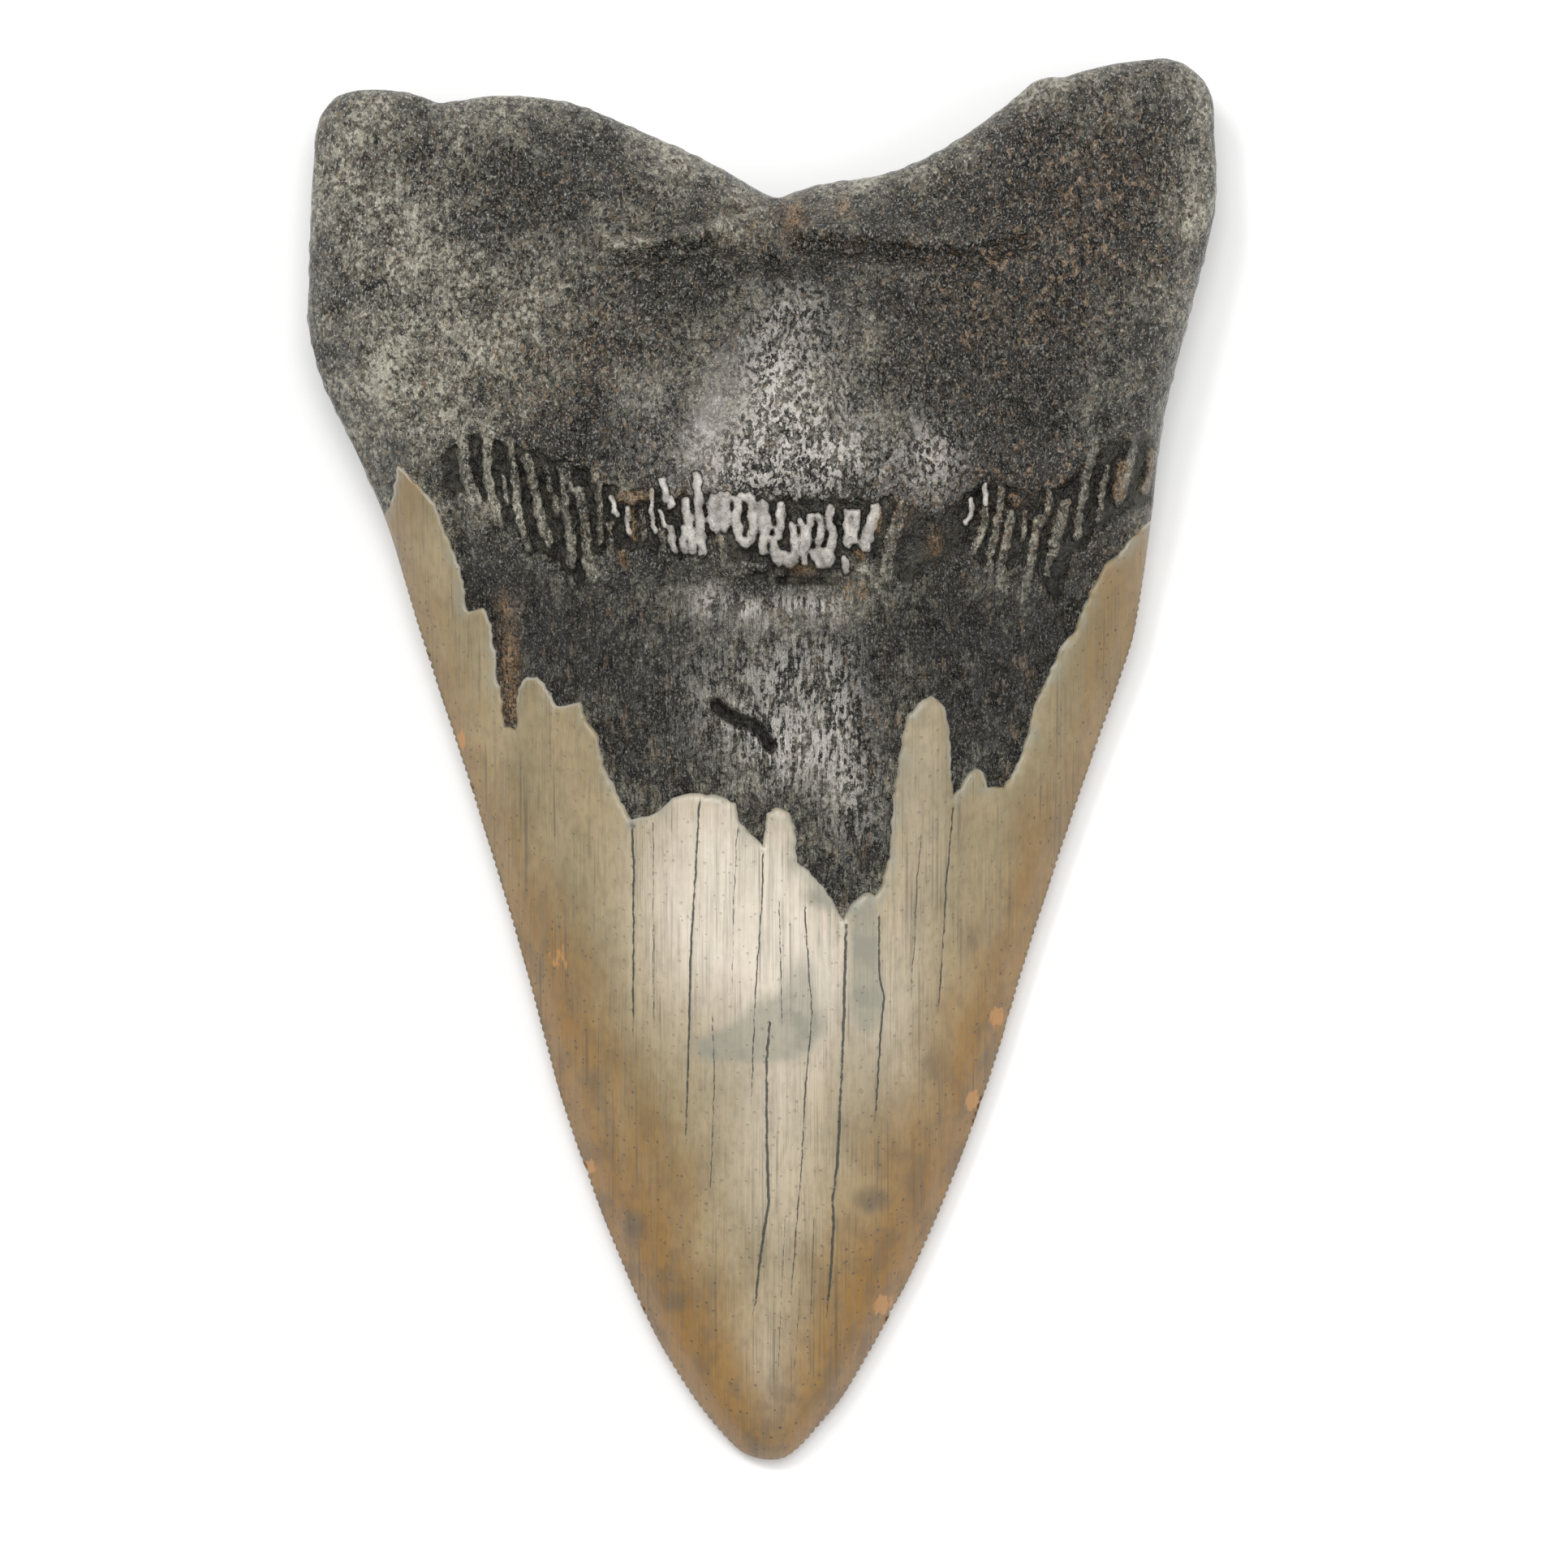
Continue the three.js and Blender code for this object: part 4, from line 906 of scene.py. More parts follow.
def lingual_face(points, rim_count, cracks):
    """Heights of the lingual face, and its marks by name."""
    x, y = points.T
    depth, _ = distance_to(outline, points)
    enamel = enamel_distance("lingual", points)
    crack = crack_relief(cracks, points) * (enamel > 0)
    on_root = 1 - smooth(*ROOT_EDGE["lingual"], enamel)
    band = band_share(x, y) * on_root
    white, white_crest = ridge_share(WHITE_RIDGES, x, y, WHITE_GROWTH)
    pale_ridge, _ = ridge_share(PALE_RIDGES, x, y, PALE_GROWTH)
    tan_ridge, _ = ridge_share(TAN_RIDGES, x, y)
    ground = band * (1 - np.maximum(np.maximum(white, pale_ridge), tan_ridge))
    slot, slot_lip = slot_relief(x, y)
    knob = bell(x - KNOB["x"], y - KNOB["y"], KNOB["half_width"], KNOB["half_length"])
    cut = np.max([trough([(x0, y0), (x1, y1)], width, x, y) for x0, y0, x1, y1, width in CUTS], axis=0)
    # Raised creases are painted lighter as a highlight and sunk ones darker as shade
    raised_highlight, sunk_shade = (
        np.max([
            abs(crease["height"]) * trough(crease["path"], crease["half_width"], x, y)
            for crease in CREASES if crease["height"] * sign > 0
        ], axis=0)
        for sign in (1, -1)
    )
    rough = on_root * smooth(0, ROOT_SWELL_FADE, depth)
    z = lingual_form(x, y, depth) + enamel_rise("lingual", enamel, depth)
    z += on_root * (BAND_LIFT * band - profile(BAND_DEPTH, x) * ground + RIDGE_CROWN * white_crest)
    z += on_root * (SLOT_LIP["height"] * slot_lip - SLOT_DEPTH * slot)
    z += on_root * (KNOB["height"] * knob - CUT_DEPTH * cut)
    z += rough * (waves(x, y, SEED + 2, **ROOT_SWELL) + waves(x, y, SEED + 3, **ROOT_RIPPLE))
    z += rough * patches(LUMPY, x, y) * waves(x, y, SEED + 9, **ROOT_LUMPINESS)
    z += waves(x, y, SEED + 4, **ENAMEL_SWELL) * smooth(0, ENAMEL_SWELL_FADE, depth) * (enamel > 0)
    z -= CRACK_DEPTH * crack
    z[:rim_count] = rim_height(y[:rim_count])

    sheen = patches(SHEEN, x, y)
    # Polish and painted highlight on the bulge, the neck and the slot's lip, less in the sunk band
    lip_polish_and_highlight = SLOT_LIP["polish_and_highlight"] * slot_lip * (y < SLOT_LIP["below"] - SLOT_LIP["fall"] * x)
    worn_and_highlit = np.maximum(patches(POLISH, x, y) * (1 - STRENGTH["band against polish"] * band), lip_polish_and_highlight)
    # Painted light along the root's top rim, added to the pale mark
    edge_light = EDGE_LIGHT["strength"] * np.exp(-depth / EDGE_LIGHT["reach"]) * smooth(*EDGE_LIGHT["begins"], y)
    pale = patches(ROOT_PALE, x, y) + edge_light
    # Pale ridges and the knob are pale of their own; raised creases add a painted highlight
    pale += STRENGTH["pale ridge"] * (pale_ridge + knob) + STRENGTH["crease highlight"] * raised_highlight
    # Dark zones, with painted shade on the bulge's flanks, in sunk creases and in the slot
    black = patches(ROOT_BLACK_AND_SHADE, x, y) + STRENGTH["crease shade"] * sunk_shade + slot
    black = np.clip(black, 0, 1) * (1 - pale_ridge)
    smoothed = STRENGTH["polish against grain"]
    return z, {
        "depth": depth,
        "enamel": enamel,
        "crack": crack,
        # Painted shade in the sunk band's ground, under the cuts and in the slot
        "hollow": np.clip(ground * profile(BAND_SHADE, x) + STRENGTH["cut shadow"] * cut + slot, 0, 1),
        # The white ridges' share, lower on their flanks: flanks and slits get painted shade, crests pale
        # wear and painted highlight
        "ridge": white * mix(STRENGTH["ridge flank"], 1, white_crest) * on_root,
        "polish_and_highlight": worn_and_highlit * on_root,
        "sheen": sheen * on_root,
        "pale": np.clip(pale, 0, 1),
        "black": mix(patches(ENAMEL_UMBER, x, y), black, on_root),
        "brown": patches(ROOT_BROWN, x, y),
        "ivory": patches(ENAMEL_IVORY, x, y),
        "stain": patches(ENAMEL_STAIN, x, y),
        "rust": np.clip(patches(RUST, x, y) + STRENGTH["rusty ridge"] * (knob + tan_ridge), 0, 1),
        "grain": on_root * smooth(0, GRAIN_FADE, depth) * (1 - smoothed * white) * (1 - smoothed * sheen),
        "fibre": on_root * smooth(*FIBRE_BEGINS, y),
    }


def labial_face(points, rim_count, cracks):
    """Heights of the labial face, and its marks by name."""
    x, y = points.T
    depth, _ = distance_to(outline, points)
    enamel = enamel_distance("labial", points)
    crack = crack_relief(cracks, points) * (enamel > 0)
    on_root = 1 - smooth(*ROOT_EDGE["labial"], enamel)
    z = labial_form(x, y, depth) - enamel_rise("labial", enamel, depth)
    z += on_root * waves(x, y, SEED + 5, **LABIAL_SWELL) * smooth(0, LABIAL_SWELL_FADE, depth)
    z = np.maximum(z, 0) + CRACK_DEPTH * crack
    z[:rim_count] = rim_height(y[:rim_count])
    marks = {name: np.zeros_like(x) for name in ("hollow", "ridge", "polish_and_highlight", "sheen", "rust", "fibre")}
    return z, marks | {
        "depth": depth,
        "enamel": enamel,
        "crack": crack,
        "pale": patches(LABIAL_PALE, x, y),
        "black": patches(LABIAL_BLACK, x, y),
        "brown": patches(ROOT_BROWN, -x, y),
        "ivory": patches(ENAMEL_IVORY, x, y + LABIAL_IVORY_SHIFT),
        "stain": patches(LABIAL_STAIN, x, y),
        "grain": on_root * smooth(0, GRAIN_FADE, depth),
    }


def tooth_mesh():
    """The whole tooth as one closed mesh, its marks as attributes, centred on the frame's box."""
    rim, crown_end = rim_loop()
    count = len(rim)
    lingual_cracks = crack_paths(CRACKS, SEED + 20)
    labial_cracks = crack_paths(LABIAL_CRACKS, SEED + 60)
    upper, upper_faces = lingual_sheet(rim, crown_end, lingual_cracks)
    lower, lower_faces = labial_sheet(rim, crown_end, labial_cracks)
    upper_z, upper_marks = lingual_face(upper, count, lingual_cracks)
    lower_z, lower_marks = labial_face(lower, count, labial_cracks)
    on_enamel = np.concatenate([
        upper_marks["enamel"][upper_faces].mean(1) > 0,
        lower_marks["enamel"][lower_faces].mean(1) > 0,
    ])
    shift = len(upper) - count
    lower_faces = np.where(lower_faces < count, lower_faces, lower_faces + shift)[:, ::-1]
    plan = np.vstack([upper, lower[count:]])
    lowest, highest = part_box("tooth")
    middle = 0.5 * (np.array(lowest) + np.array(highest))[:2]
    plan = (plan - 0.5 * (outline.min(0) + outline.max(0))) * MM + middle
    z = np.concatenate([upper_z, lower_z[count:]]) * MM
    faces = np.vstack([upper_faces, lower_faces])

    mesh = bpy.data.meshes.new("tooth_surface")
    mesh.from_pydata(np.column_stack([plan, z]).tolist(), [], faces.tolist())
    for name in upper_marks:
        values = np.concatenate([upper_marks[name], lower_marks[name][count:]])
        mark = mesh.attributes.new(name, "FLOAT", "POINT")
        mark.data.foreach_set("value", values.astype(np.float32))
    enamelled = mesh.attributes.new("enamelled", "BOOLEAN", "FACE")
    enamelled.data.foreach_set("value", on_enamel)
    mesh.shade_smooth()
    mesh.update()
    return mesh


# Node helpers

class Value:
    """An output in a node tree, which can be calculated with where it is a number."""

    def __init__(self, tree, socket):
        self.tree, self.socket = tree, socket

    def calc(self, operation, a, b):
        node = add(self.tree, "ShaderNodeMath", {0: a, 1: b}, operation=operation)
        return Value(self.tree, node.outputs[0])

    def __add__(self, other):
        return self.calc("ADD", self, other)

    def __sub__(self, other):
        return self.calc("SUBTRACT", self, other)

    def __rsub__(self, other):
        return self.calc("SUBTRACT", other, self)

    def __mul__(self, other):
        return self.calc("MULTIPLY", self, other)

    def __truediv__(self, other):
        return self.calc("DIVIDE", self, other)

    def __rtruediv__(self, other):
        return self.calc("DIVIDE", other, self)

    __radd__ = __add__
    __rmul__ = __mul__

    def ramp(self, low, high, to_low=0.0, to_high=1.0):
        """Eases the value from one range into another."""
        inputs = {"Value": self, "From Min": low, "From Max": high, "To Min": to_low, "To Max": to_high}
        node = add(self.tree, "ShaderNodeMapRange", inputs, interpolation_type="SMOOTHSTEP")
        return Value(self.tree, node.outputs["Result"])


def connect(tree, value, socket):
    """Links a value or a socket to an input, or sets the input to a plain value."""
    if isinstance(value, Value):
        value = value.socket
    if isinstance(value, bpy.types.NodeSocket):
        tree.links.new(value, socket)
    else:
        socket.default_value = value


def add(tree, kind, inputs=None, **settings):
    """Adds a node, sets its options, and fills or links the inputs given by name or number."""
    node = tree.nodes.new(kind)
    for name, value in settings.items():
        setattr(node, name, value)
    for key, value in (inputs or {}).items():
        connect(tree, value, node.inputs[key])
    return node


def vector_math(tree, operation, a, b):
    return add(tree, "ShaderNodeVectorMath", {0: a, 1: b}, operation=operation).outputs[0]


def stretched(tree, place, size, stretch, unit=1.0, deep=True):
    """Coordinates counted in steps of a size, which are longer along Y and, where deep, along Z as well."""
    across = unit / size
    upright = across / stretch
    steps = {"X": across, "Y": upright, "Z": upright if deep else across}
    return vector_math(tree, "MULTIPLY", place, add(tree, "ShaderNodeCombineXYZ", steps).outputs[0])


SOCKET_KINDS = {"Geometry": "NodeSocketGeometry", "Vector": "NodeSocketVector"}


def new_group(kind, name, inputs, outputs):
    """An empty group with named sockets: its tree, its inputs as values and its outputs."""
    tree = bpy.data.node_groups.new(name, kind)
    for label, value in inputs.items():
        socket_kind = SOCKET_KINDS.get(label, "NodeSocketFloat")
        socket = tree.interface.new_socket(name=label, in_out="INPUT", socket_type=socket_kind)
        if value is not None:
            socket.default_value = value
    for label in outputs:
        socket_kind = SOCKET_KINDS.get(label, "NodeSocketFloat")
        tree.interface.new_socket(name=label, in_out="OUTPUT", socket_type=socket_kind)
    sockets = tree.nodes.new("NodeGroupInput").outputs
    given = {label: Value(tree, sockets[label]) for label in inputs}
    return tree, given, tree.nodes.new("NodeGroupOutput").inputs


def soft_spots_group():
    """Cloudy spots of a chosen size, stretched along Y, as a mask whose cover and softness can be set."""
    inputs = {
        "Vector": None, "Size": 1.0, "Stretch": 1.0,
        "Cover": 0.5, "Softness": 0.1, "Detail": 3.0, "Turn": 0.0,
    }
    tree, given, result = new_group("ShaderNodeTree", "soft spots", inputs, ["Mask", "Noise"])
    place = stretched(tree, given["Vector"], given["Size"], given["Stretch"])
    turned = vector_math(tree, "ADD", place, given["Turn"])
    inputs = {"Vector": turned, "Scale": 1.0, "Detail": given["Detail"], "Roughness": 0.55}
    noise = Value(tree, add(tree, "ShaderNodeTexNoise", inputs).outputs["Fac"])
    # Noise values gather round the middle, so the cover is squeezed to the range that they fill.
    middle = 0.25 + (1.0 - given["Cover"]) * 0.5
    connect(tree, noise.ramp(middle - given["Softness"], middle + given["Softness"]), result["Mask"])
    connect(tree, noise, result["Noise"])
    return tree


def specks_group():
    """Separate round specks in a share of evenly spread cells."""
    inputs = {"Vector": None, "Spacing": 1.0, "Radius": 0.2, "Share": 0.3}
    tree, given, result = new_group("ShaderNodeTree", "specks", inputs, ["Mask"])
    place = vector_math(tree, "MULTIPLY", given["Vector"], 1.0 / given["Spacing"])
    cells = add(tree, "ShaderNodeTexVoronoi", {"Vector": place, "Scale": 1.0}).outputs
    chance = Value(tree, add(tree, "ShaderNodeSeparateColor", {"Color": cells["Color"]}).outputs[0])
    chosen = chance.calc("LESS_THAN", chance, given["Share"])
    size = given["Radius"] * chance.ramp(0.0, given["Share"], 1.0, 0.5)
    spot = Value(tree, cells["Distance"]).ramp(size * 0.6, size, 1.0, 0.0)
    connect(tree, chosen * spot, result["Mask"])
    return tree


def grains_group():
    """Packed grains, each with a tone and a hue of its own from 0 to 1 and a rounded top."""
    inputs = {"Vector": None, "Size": 0.35, "Stretch": 1.2}
    tree, given, result = new_group("ShaderNodeTree", "grains", inputs, ["Tone", "Hue", "Top"])
    place = stretched(tree, given["Vector"], given["Size"], given["Stretch"])
    wander = add(tree, "ShaderNodeTexNoise", {"Vector": place, "Scale": 1.3, "Detail": 1.0}).outputs["Color"]
    moved = vector_math(tree, "ADD", place, wander)
    cells = add(tree, "ShaderNodeTexVoronoi", {"Vector": moved, "Scale": 1.0}).outputs
    parted = add(tree, "ShaderNodeSeparateColor", {"Color": cells["Color"]}).outputs
    connect(tree, parted[0], result["Tone"])
    connect(tree, parted[1], result["Hue"])
    connect(tree, Value(tree, cells["Distance"]).ramp(0.05, 0.75, 1.0, 0.0), result["Top"])
    return tree


class Finish:
    """A material on its way: its tree, coordinates in millimetres, shared effects and colour so far."""

    def __init__(self, name, groups, colour):
        self.material = bpy.data.materials.new(name)
        self.material.use_nodes = True
        self.tree = self.material.node_tree
        self.tree.nodes.clear()
        self.groups = groups
        self.colour = colour
        place = add(self.tree, "ShaderNodeTexCoord").outputs["Object"]
        self.at = add(self.tree, "ShaderNodeMapping", {"Vector": place, "Scale": (1 / MM,) * 3}).outputs[0]

    def marks(self, *names):
        """The mesh's marks of these names as values."""
        nodes = [add(self.tree, "ShaderNodeAttribute", attribute_name=name) for name in names]
        return [Value(self.tree, node.outputs["Fac"]) for node in nodes]

    def effect(self, name, inputs):
        """The outputs of a shared effect as values."""
        node = add(self.tree, "ShaderNodeGroup", {"Vector": self.at, **inputs}, node_tree=self.groups[name])
        return {socket.name: Value(self.tree, socket) for socket in node.outputs}

    def spots(self, size, cover=0.5, softness=0.1, stretch=1.0, detail=3.0, turn=0.0, output="Mask"):
        """Cloudy spots, of a size in millimetres."""
        inputs = {"Size": size, "Cover": cover, "Softness": softness}
        return self.effect("spots", {**inputs, "Stretch": stretch, "Detail": detail, "Turn": turn})[output]

    def specks(self, spacing, radius, share):
        """Separate round specks, of a spacing in millimetres."""
        return self.effect("specks", {"Spacing": spacing, "Radius": radius, "Share": share})["Mask"]

    def grains(self, size, stretch):
        """Packed grains, of a size in millimetres."""
        return self.effect("grains", {"Size": size, "Stretch": stretch})

    def lay(self, share, colour):
        """Lays a colour over the finish's colour by a share from 0 to 1."""
        self.colour = self.blend(share, self.colour, colour)

    def blend(self, share, under, over):
        """One colour over another by a share from 0 to 1."""
        under, over = (v if isinstance(v, bpy.types.NodeSocket) else (*v, 1) for v in (under, over))
        inputs = {0: share, 6: under, 7: over}
        return add(self.tree, "ShaderNodeMix", inputs, data_type="RGBA", clamp_factor=True).outputs[2]

    def finish(self, roughness, height, **same_all_over):
        """Ends the material, with its roughness and the height of its fine relief in millimetres."""
        bump = add(self.tree, "ShaderNodeBump", {"Height": height, "Distance": MM, "Strength": 1.0})
        inputs = {"Base Color": self.colour, "Roughness": roughness, "Normal": bump.outputs[0]}
        shader = add(self.tree, "ShaderNodeBsdfPrincipled", {**inputs, **same_all_over})
        add(self.tree, "ShaderNodeOutputMaterial", {"Surface": shader.outputs[0]})
        return self.material


# Finishes

def root_finish(groups):
    """Dark mineralised root: a mosaic of grains, pitted, worn to a pale polish on its raised parts, with
    painted highlight, sheen, glints and shade.
    """
    f = Finish("fossil root", groups, ROOT_BLACK_COLOUR)
    pale, black, brown, polish_and_highlight, sheen = f.marks("pale", "black", "brown", "polish_and_highlight", "sheen")
    hollow, rust, fibre, ridge = f.marks("hollow", "rust", "fibre", "ridge")
    cloud = f.spots(7.0, softness=0.2, output="Noise")
    mottle = f.spots(2.4, softness=0.12, stretch=1.2)
    clumps = f.spots(1.0, softness=0.09, stretch=1.3, turn=3.0)
    pits = f.spots(0.5, cover=0.3, softness=0.04, stretch=1.2, detail=2.0, turn=13.0)
    network = f.spots(0.46, softness=0.035, stretch=1.5, turn=21.0)
    wear = f.spots(1.9, cover=0.55, softness=0.12, stretch=1.6, turn=27.0)
    streaks = f.spots(0.36, softness=0.05, stretch=8.0, turn=31.0)
    glints = f.spots(0.2, cover=0.3, softness=0.03, stretch=1.6, detail=2.0, turn=37.0)
    small = f.grains(0.2, 1.2)
    round_ones = f.grains(0.42, 1.3)
    long_ones = f.grains(0.36, 3.2)
    tone, hue, top = (
        round_ones[name] + fibre * (long_ones[name] - round_ones[name]) for name in ("Tone", "Hue", "Top")
    )

    # The grains' tones, from black through grey to pale, darker and lighter by zones, among them painted
    # light and painted shade from the marks
    shade = 0.16 + (cloud - 0.5) * 1.9 + pale * 0.47 + black * -0.4 + (mottle - 0.4) * 0.16 + clumps * 0.14
    shade = shade + (tone - 0.5) * (0.58 + black * -0.1) + (small["Tone"] - 0.5) * 0.22
    f.lay(shade.ramp(0.0, 0.6), ROOT_GREY_COLOUR)
    f.lay(shade.ramp(0.5, 1.15), ROOT_PALE_COLOUR)
    f.lay((0.12 + brown) * hue.ramp(0.35, 0.8) * 0.8, ROOT_BROWN_COLOUR)
    f.lay(hue.ramp(0.93, 0.95) * (0.25 + brown * 0.5), ROOT_TAN_COLOUR)
    f.lay(pits * 0.7, ROOT_PIT_COLOUR)

    # Polish on the raised parts, painted pale both as wear and as painted highlight, a painted sheen, and
    # painted glints on the grains
    threads = fibre * (streaks - 0.5)
    worn_and_highlit = polish_and_highlight * (network + threads + (wear - 0.5) * 0.9).ramp(0.3, 0.95)
    # Painted sheen
    f.lay(sheen * (0.2 + wear * 0.3), SHEEN_COLOUR)
    f.lay(worn_and_highlit * 0.85, ROOT_WORN_AND_HIGHLIGHT_COLOUR)
    # Painted glints: tiny highlights of the grains laid into the colour
    f.lay(glints * (0.3 + pale * 0.2 + polish_and_highlight * 0.2 + black * -0.05 + fibre * -0.1), ROOT_GLINT_COLOUR)

    # The sunk ground of the band, painted dark as shade over its own olive ground, and its ridges: grey
    # flanks and dark slits beside them as painted shade, and crests pale from wear and as painted highlight
    sunk_shade = hollow.ramp(0.12, 0.5) * (0.45 + hollow * 0.5)
    f.lay(sunk_shade, f.blend(clumps * (0.6 + black * -0.5), FURROW_SHADE_COLOUR, BAND_COLOUR))
    flank = ridge.ramp(0.26, 0.46)
    # Painted shade in the slits beside the ridges and on their flanks
    f.lay(ridge.ramp(0.03, 0.16) * (1.0 - flank) * 0.85, FURROW_SHADE_COLOUR)
    f.lay(flank * (0.3 + wear * 0.3), SHEEN_COLOUR)
    f.lay(ridge.ramp(0.5, 0.85) * (0.28 + clumps * 0.32 + wear * 0.34), ROOT_WORN_AND_HIGHLIGHT_COLOUR)
    f.lay(rust * small["Tone"].ramp(0.1, 0.6), RUST_COLOUR)

    roughness = 0.21 + small["Hue"] * 0.12 + worn_and_highlit * -0.04 + hollow * 0.22 + sheen * -0.04 + black * -0.05
    grit = top * 0.15 + small["Top"] * 0.05 + pits * -0.18 + clumps * 0.09
    grit = grit * (1.0 + sheen * -0.75 + ridge * -0.6)
    height = grit + worn_and_highlit * 0.07 + threads * 0.1 + glints * 0.02 + flank * 0.12 + sunk_shade * -0.1
    return f.finish(roughness, height, IOR=ROOT_IOR)


def enamel_finish(groups):
    """Glossy enamel: ivory in the middle, olive beige beside it and brown towards the cutting edges."""
    f = Finish("fossil enamel", groups, ENAMEL_OLIVE_COLOUR)
    depth, inside, crack, black = f.marks("depth", "enamel", "crack", "black")
    ivory, stain, rust = f.marks("ivory", "stain", "rust")
    along_y = Value(f.tree, add(f.tree, "ShaderNodeSeparateXYZ", {0: f.at}).outputs["Y"])
    towards_tip = along_y.ramp(8.0, -45.0)
    cloud = f.spots(7.0, stretch=1.6, detail=6.0, output="Noise")
    blotch = f.spots(2.8, cover=0.42, softness=0.09, stretch=1.2, detail=5.0, turn=5.0)
    grain = f.spots(0.5, stretch=2.5, detail=5.0, turn=29.0, output="Noise")
    hairs = f.spots(0.13, cover=0.42, softness=0.06, stretch=70.0, detail=2.0, turn=41.0)
    nibbles = f.spots(0.3, stretch=2.0, turn=47.0)
    streaks = f.spots(0.45, cover=0.45, softness=0.16, stretch=30.0, detail=2.0, turn=11.0)
    lines = f.spots(0.3, cover=0.2, softness=0.05, stretch=70.0, detail=1.0, turn=17.0)
    breaks = f.spots(2.5, cover=0.55, stretch=3.0, detail=5.0, turn=23.0)
    dots = f.specks(0.8, 0.24, 0.8)
    dust = f.specks(0.8, 0.2, 0.2)
    uneven = cloud - 0.5

    # Zones of colour
    f.lay(cloud.ramp(0.35, 0.65), ENAMEL_BEIGE_COLOUR)
    f.lay(ivory * cloud.ramp(0.25, 0.55, 0.75, 1.0), ENAMEL_IVORY_COLOUR)
    near_edge = (depth + uneven * 11.0).ramp(0.5, 5.0 + towards_tip * 9.0, 1.0, 0.0)
    f.lay(near_edge * (0.5 + towards_tip * 0.5) * (1.0 + ivory * -0.7), ENAMEL_BROWN_COLOUR)
    f.lay(near_edge * blotch * (0.15 + towards_tip * 0.35), ENAMEL_UMBER_COLOUR)
    f.lay((black + uneven * 1.6).ramp(0.3, 0.8, 0.0, 0.75), ENAMEL_UMBER_COLOUR)

    # Streaks, hairlines, stains and specks
    f.lay(streaks * 0.2, ENAMEL_STREAK_COLOUR)
    f.lay(hairs * breaks * 0.22, ENAMEL_LINE_COLOUR)
    f.lay(grain.ramp(0.42, 0.68, 0.0, 0.26) * (1.0 + ivory * -0.65), ENAMEL_UMBER_COLOUR)
    f.lay(lines * breaks * 0.4, ENAMEL_LINE_COLOUR)
    f.lay((stain + uneven * 1.2).ramp(0.25, 0.75) * (0.6 + blotch * 0.3), ENAMEL_STAIN_COLOUR)
    f.lay(dots * (0.2 + near_edge * 0.6), ENAMEL_LINE_COLOUR)
    f.lay(dust * near_edge * 0.55, RUST_COLOUR)
    f.lay((rust + (grain - 0.5) * 1.4).ramp(0.4, 0.6, 0.0, 0.8), ENAMEL_RUST_COLOUR)

    # Cracks, the grey border and pale lip of the enamel's end, and painted shade at the foot of its step
    f.lay((crack * (0.45 + nibbles * 0.55 + breaks * 0.3)).ramp(0.12, 0.5, 0.0, 0.92), CRACK_AND_FOOT_SHADE_COLOUR)
    f.lay(inside.ramp(0.3, 1.6, 0.5, 0.0) * (0.2 + blotch), ENAMEL_BORDER_COLOUR)
    f.lay(inside.ramp(0.1, 0.4, 0.7, 0.0) * breaks, ENAMEL_LIP_COLOUR)
    # Painted shade along the foot of the enamel's step
    f.lay(inside.ramp(0.02, 0.12, 0.5, 0.0), CRACK_AND_FOOT_SHADE_COLOUR)

    roughness = 0.36 + blotch * 0.06 + crack * 0.3 + near_edge * 0.05
    return f.finish(roughness, streaks * 0.012 + lines * -0.02 + dots * -0.05 + blotch * 0.015)


# Grain of the root

def grain_tree(root, enamel):
    """Roughens the root along its normals, in lumps and upright fibres, and gives the faces their finish."""
    inputs = {"Geometry": None, **GRAIN}
    tree, given, result = new_group("GeometryNodeTree", "root grain", inputs, ["Geometry"])
    position = add(tree, "GeometryNodeInputPosition").outputs[0]

    def named(name, kind="FLOAT"):
        node = add(tree, "GeometryNodeInputNamedAttribute", {"Name": name}, data_type=kind)
        return Value(tree, node.outputs["Attribute"])

    def noise(size, stretch, detail):
        place = stretched(tree, position, size, stretch, unit=1 / MM, deep=False)
        inputs = {"Vector": place, "W": given["Seed"], "Scale": 1.0, "Detail": detail}
        return Value(tree, add(tree, "ShaderNodeTexNoise", inputs, noise_dimensions="4D").outputs["Fac"])

    lumps = noise(given["Lump size"], 1.2, 2.0) - 0.5
    fibres = noise(given["Fibre size"], given["Fibre stretch"], 1.0) - 0.5
    pits = noise(given["Pit size"], 1.3, 1.0).ramp(0.36, 0.44, -1.0, 0.0)
    grain = named("grain")
    push = grain * given["Lump height"] * lumps
    push = push + named("fibre") * given["Fibre height"] * fibres + grain * given["Pit depth"] * pits
    inputs = {0: add(tree, "GeometryNodeInputNormal").outputs[0], "Scale": push * MM}
    offset = add(tree, "ShaderNodeVectorMath", inputs, operation="SCALE").outputs[0]
    moved = add(tree, "GeometryNodeSetPosition", {"Geometry": given["Geometry"], "Offset": offset})
    realized = add(tree, "GeometryNodeRealizeInstances", {"Geometry": moved.outputs[0]})
    dressed = add(tree, "GeometryNodeSetMaterial", {"Geometry": realized.outputs[0], "Material": root})
    inputs = {"Geometry": dressed.outputs[0], "Selection": named("enamelled", "BOOLEAN"), "Material": enamel}
    connect(tree, add(tree, "GeometryNodeSetMaterial", inputs).outputs[0], result["Geometry"])
    return tree


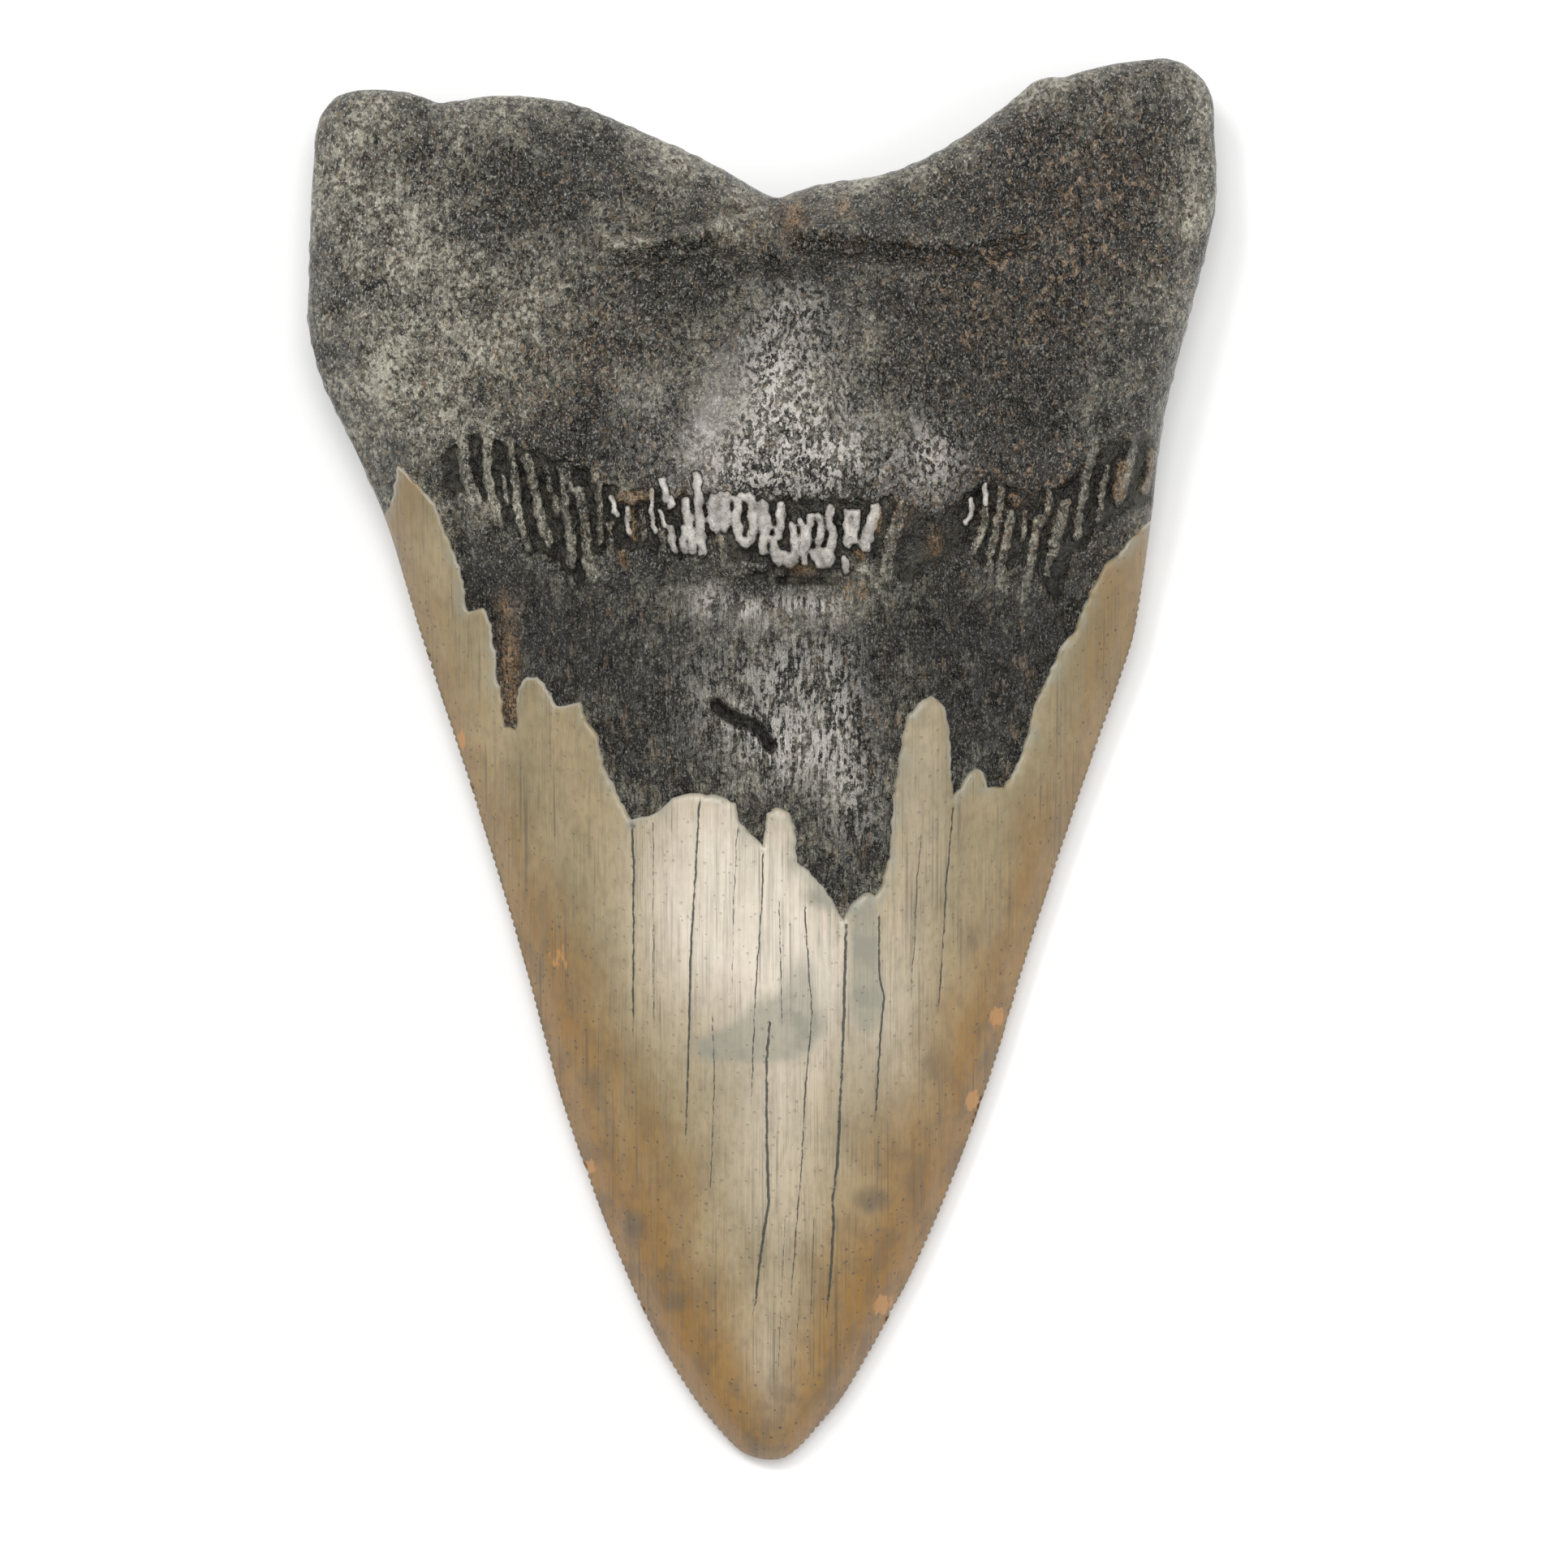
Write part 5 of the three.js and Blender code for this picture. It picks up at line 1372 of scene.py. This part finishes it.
def grained(mesh, tree):
    """The mesh with its grain, as a plain mesh on an object at the origin."""
    draft = bpy.data.objects.new("tooth_draft", mesh)
    bpy.context.scene.collection.objects.link(draft)
    modifier = draft.modifiers.new("root grain", "NODES")
    modifier.node_group = tree
    for socket in tree.interface.items_tree:
        if socket.in_out == "INPUT" and socket.name in GRAIN:
            modifier[socket.identifier] = GRAIN[socket.name]
    graph = bpy.context.evaluated_depsgraph_get()
    evaluated = draft.evaluated_get(graph)
    surface = bpy.data.meshes.new_from_object(evaluated, preserve_all_data_layers=True, depsgraph=graph)
    bpy.data.objects.remove(draft)
    surface.name = "tooth_surface"
    piece = bpy.data.objects.new("fossil_tooth", surface)
    bpy.context.scene.collection.objects.link(piece)
    return piece


# Surroundings

def add_floor():
    """A plain pale sheet that the tooth lies on."""
    half = FLOOR_SIZE / 2
    corners = [(half * x, half * y, FLOOR_Z) for x, y in ((-1, -1), (1, -1), (1, 1), (-1, 1))]
    mesh = bpy.data.meshes.new("floor")
    mesh.from_pydata(corners, [], [(0, 1, 2, 3)])
    floor = bpy.data.objects.new("floor", mesh)
    material = bpy.data.materials.new("pale paper")
    material.use_nodes = True
    paper = material.node_tree.nodes["Principled BSDF"].inputs
    paper["Base Color"].default_value = (*FLOOR_COLOUR, 1)
    paper["Roughness"].default_value = FLOOR_ROUGHNESS
    paper["Specular IOR Level"].default_value = FLOOR_SPECULAR
    mesh.materials.append(material)
    bpy.context.scene.collection.objects.link(floor)


def add_light(name, place, target, size, watts):
    light = bpy.data.lights.new(name, "AREA")
    light.shape = "RECTANGLE"
    light.size, light.size_y = size
    light.energy = watts
    lamp = bpy.data.objects.new(name, light)
    lamp.location = place
    lamp.rotation_euler = (Vector(target) - Vector(place)).to_track_quat("-Z", "Y").to_euler()
    bpy.context.scene.collection.objects.link(lamp)


def add_surroundings():
    world = bpy.data.worlds.new("white room")
    world.use_nodes = True
    background = world.node_tree.nodes["Background"].inputs
    background["Color"].default_value = (1, 1, 1, 1)
    background["Strength"].default_value = ROOM_LIGHT
    bpy.context.scene.world = world
    for light in LIGHTS:
        add_light(**light)
    bpy.context.scene.view_settings.view_transform = "Standard"


def add_camera():
    camera = bpy.data.cameras.new("camera")
    camera.lens = CAMERA_LENS
    camera.sensor_width = CAMERA_SENSOR
    camera.clip_start, camera.clip_end = CAMERA_RANGE
    holder = bpy.data.objects.new("camera", camera)
    holder.location = CAMERA_PLACE
    bpy.context.scene.collection.objects.link(holder)
    bpy.context.scene.camera = holder


groups = {"spots": soft_spots_group(), "specks": specks_group(), "grains": grains_group()}
tooth = grained(tooth_mesh(), grain_tree(root_finish(groups), enamel_finish(groups)))
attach(tooth, "root")
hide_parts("tooth")

add_floor()
add_surroundings()
add_camera()
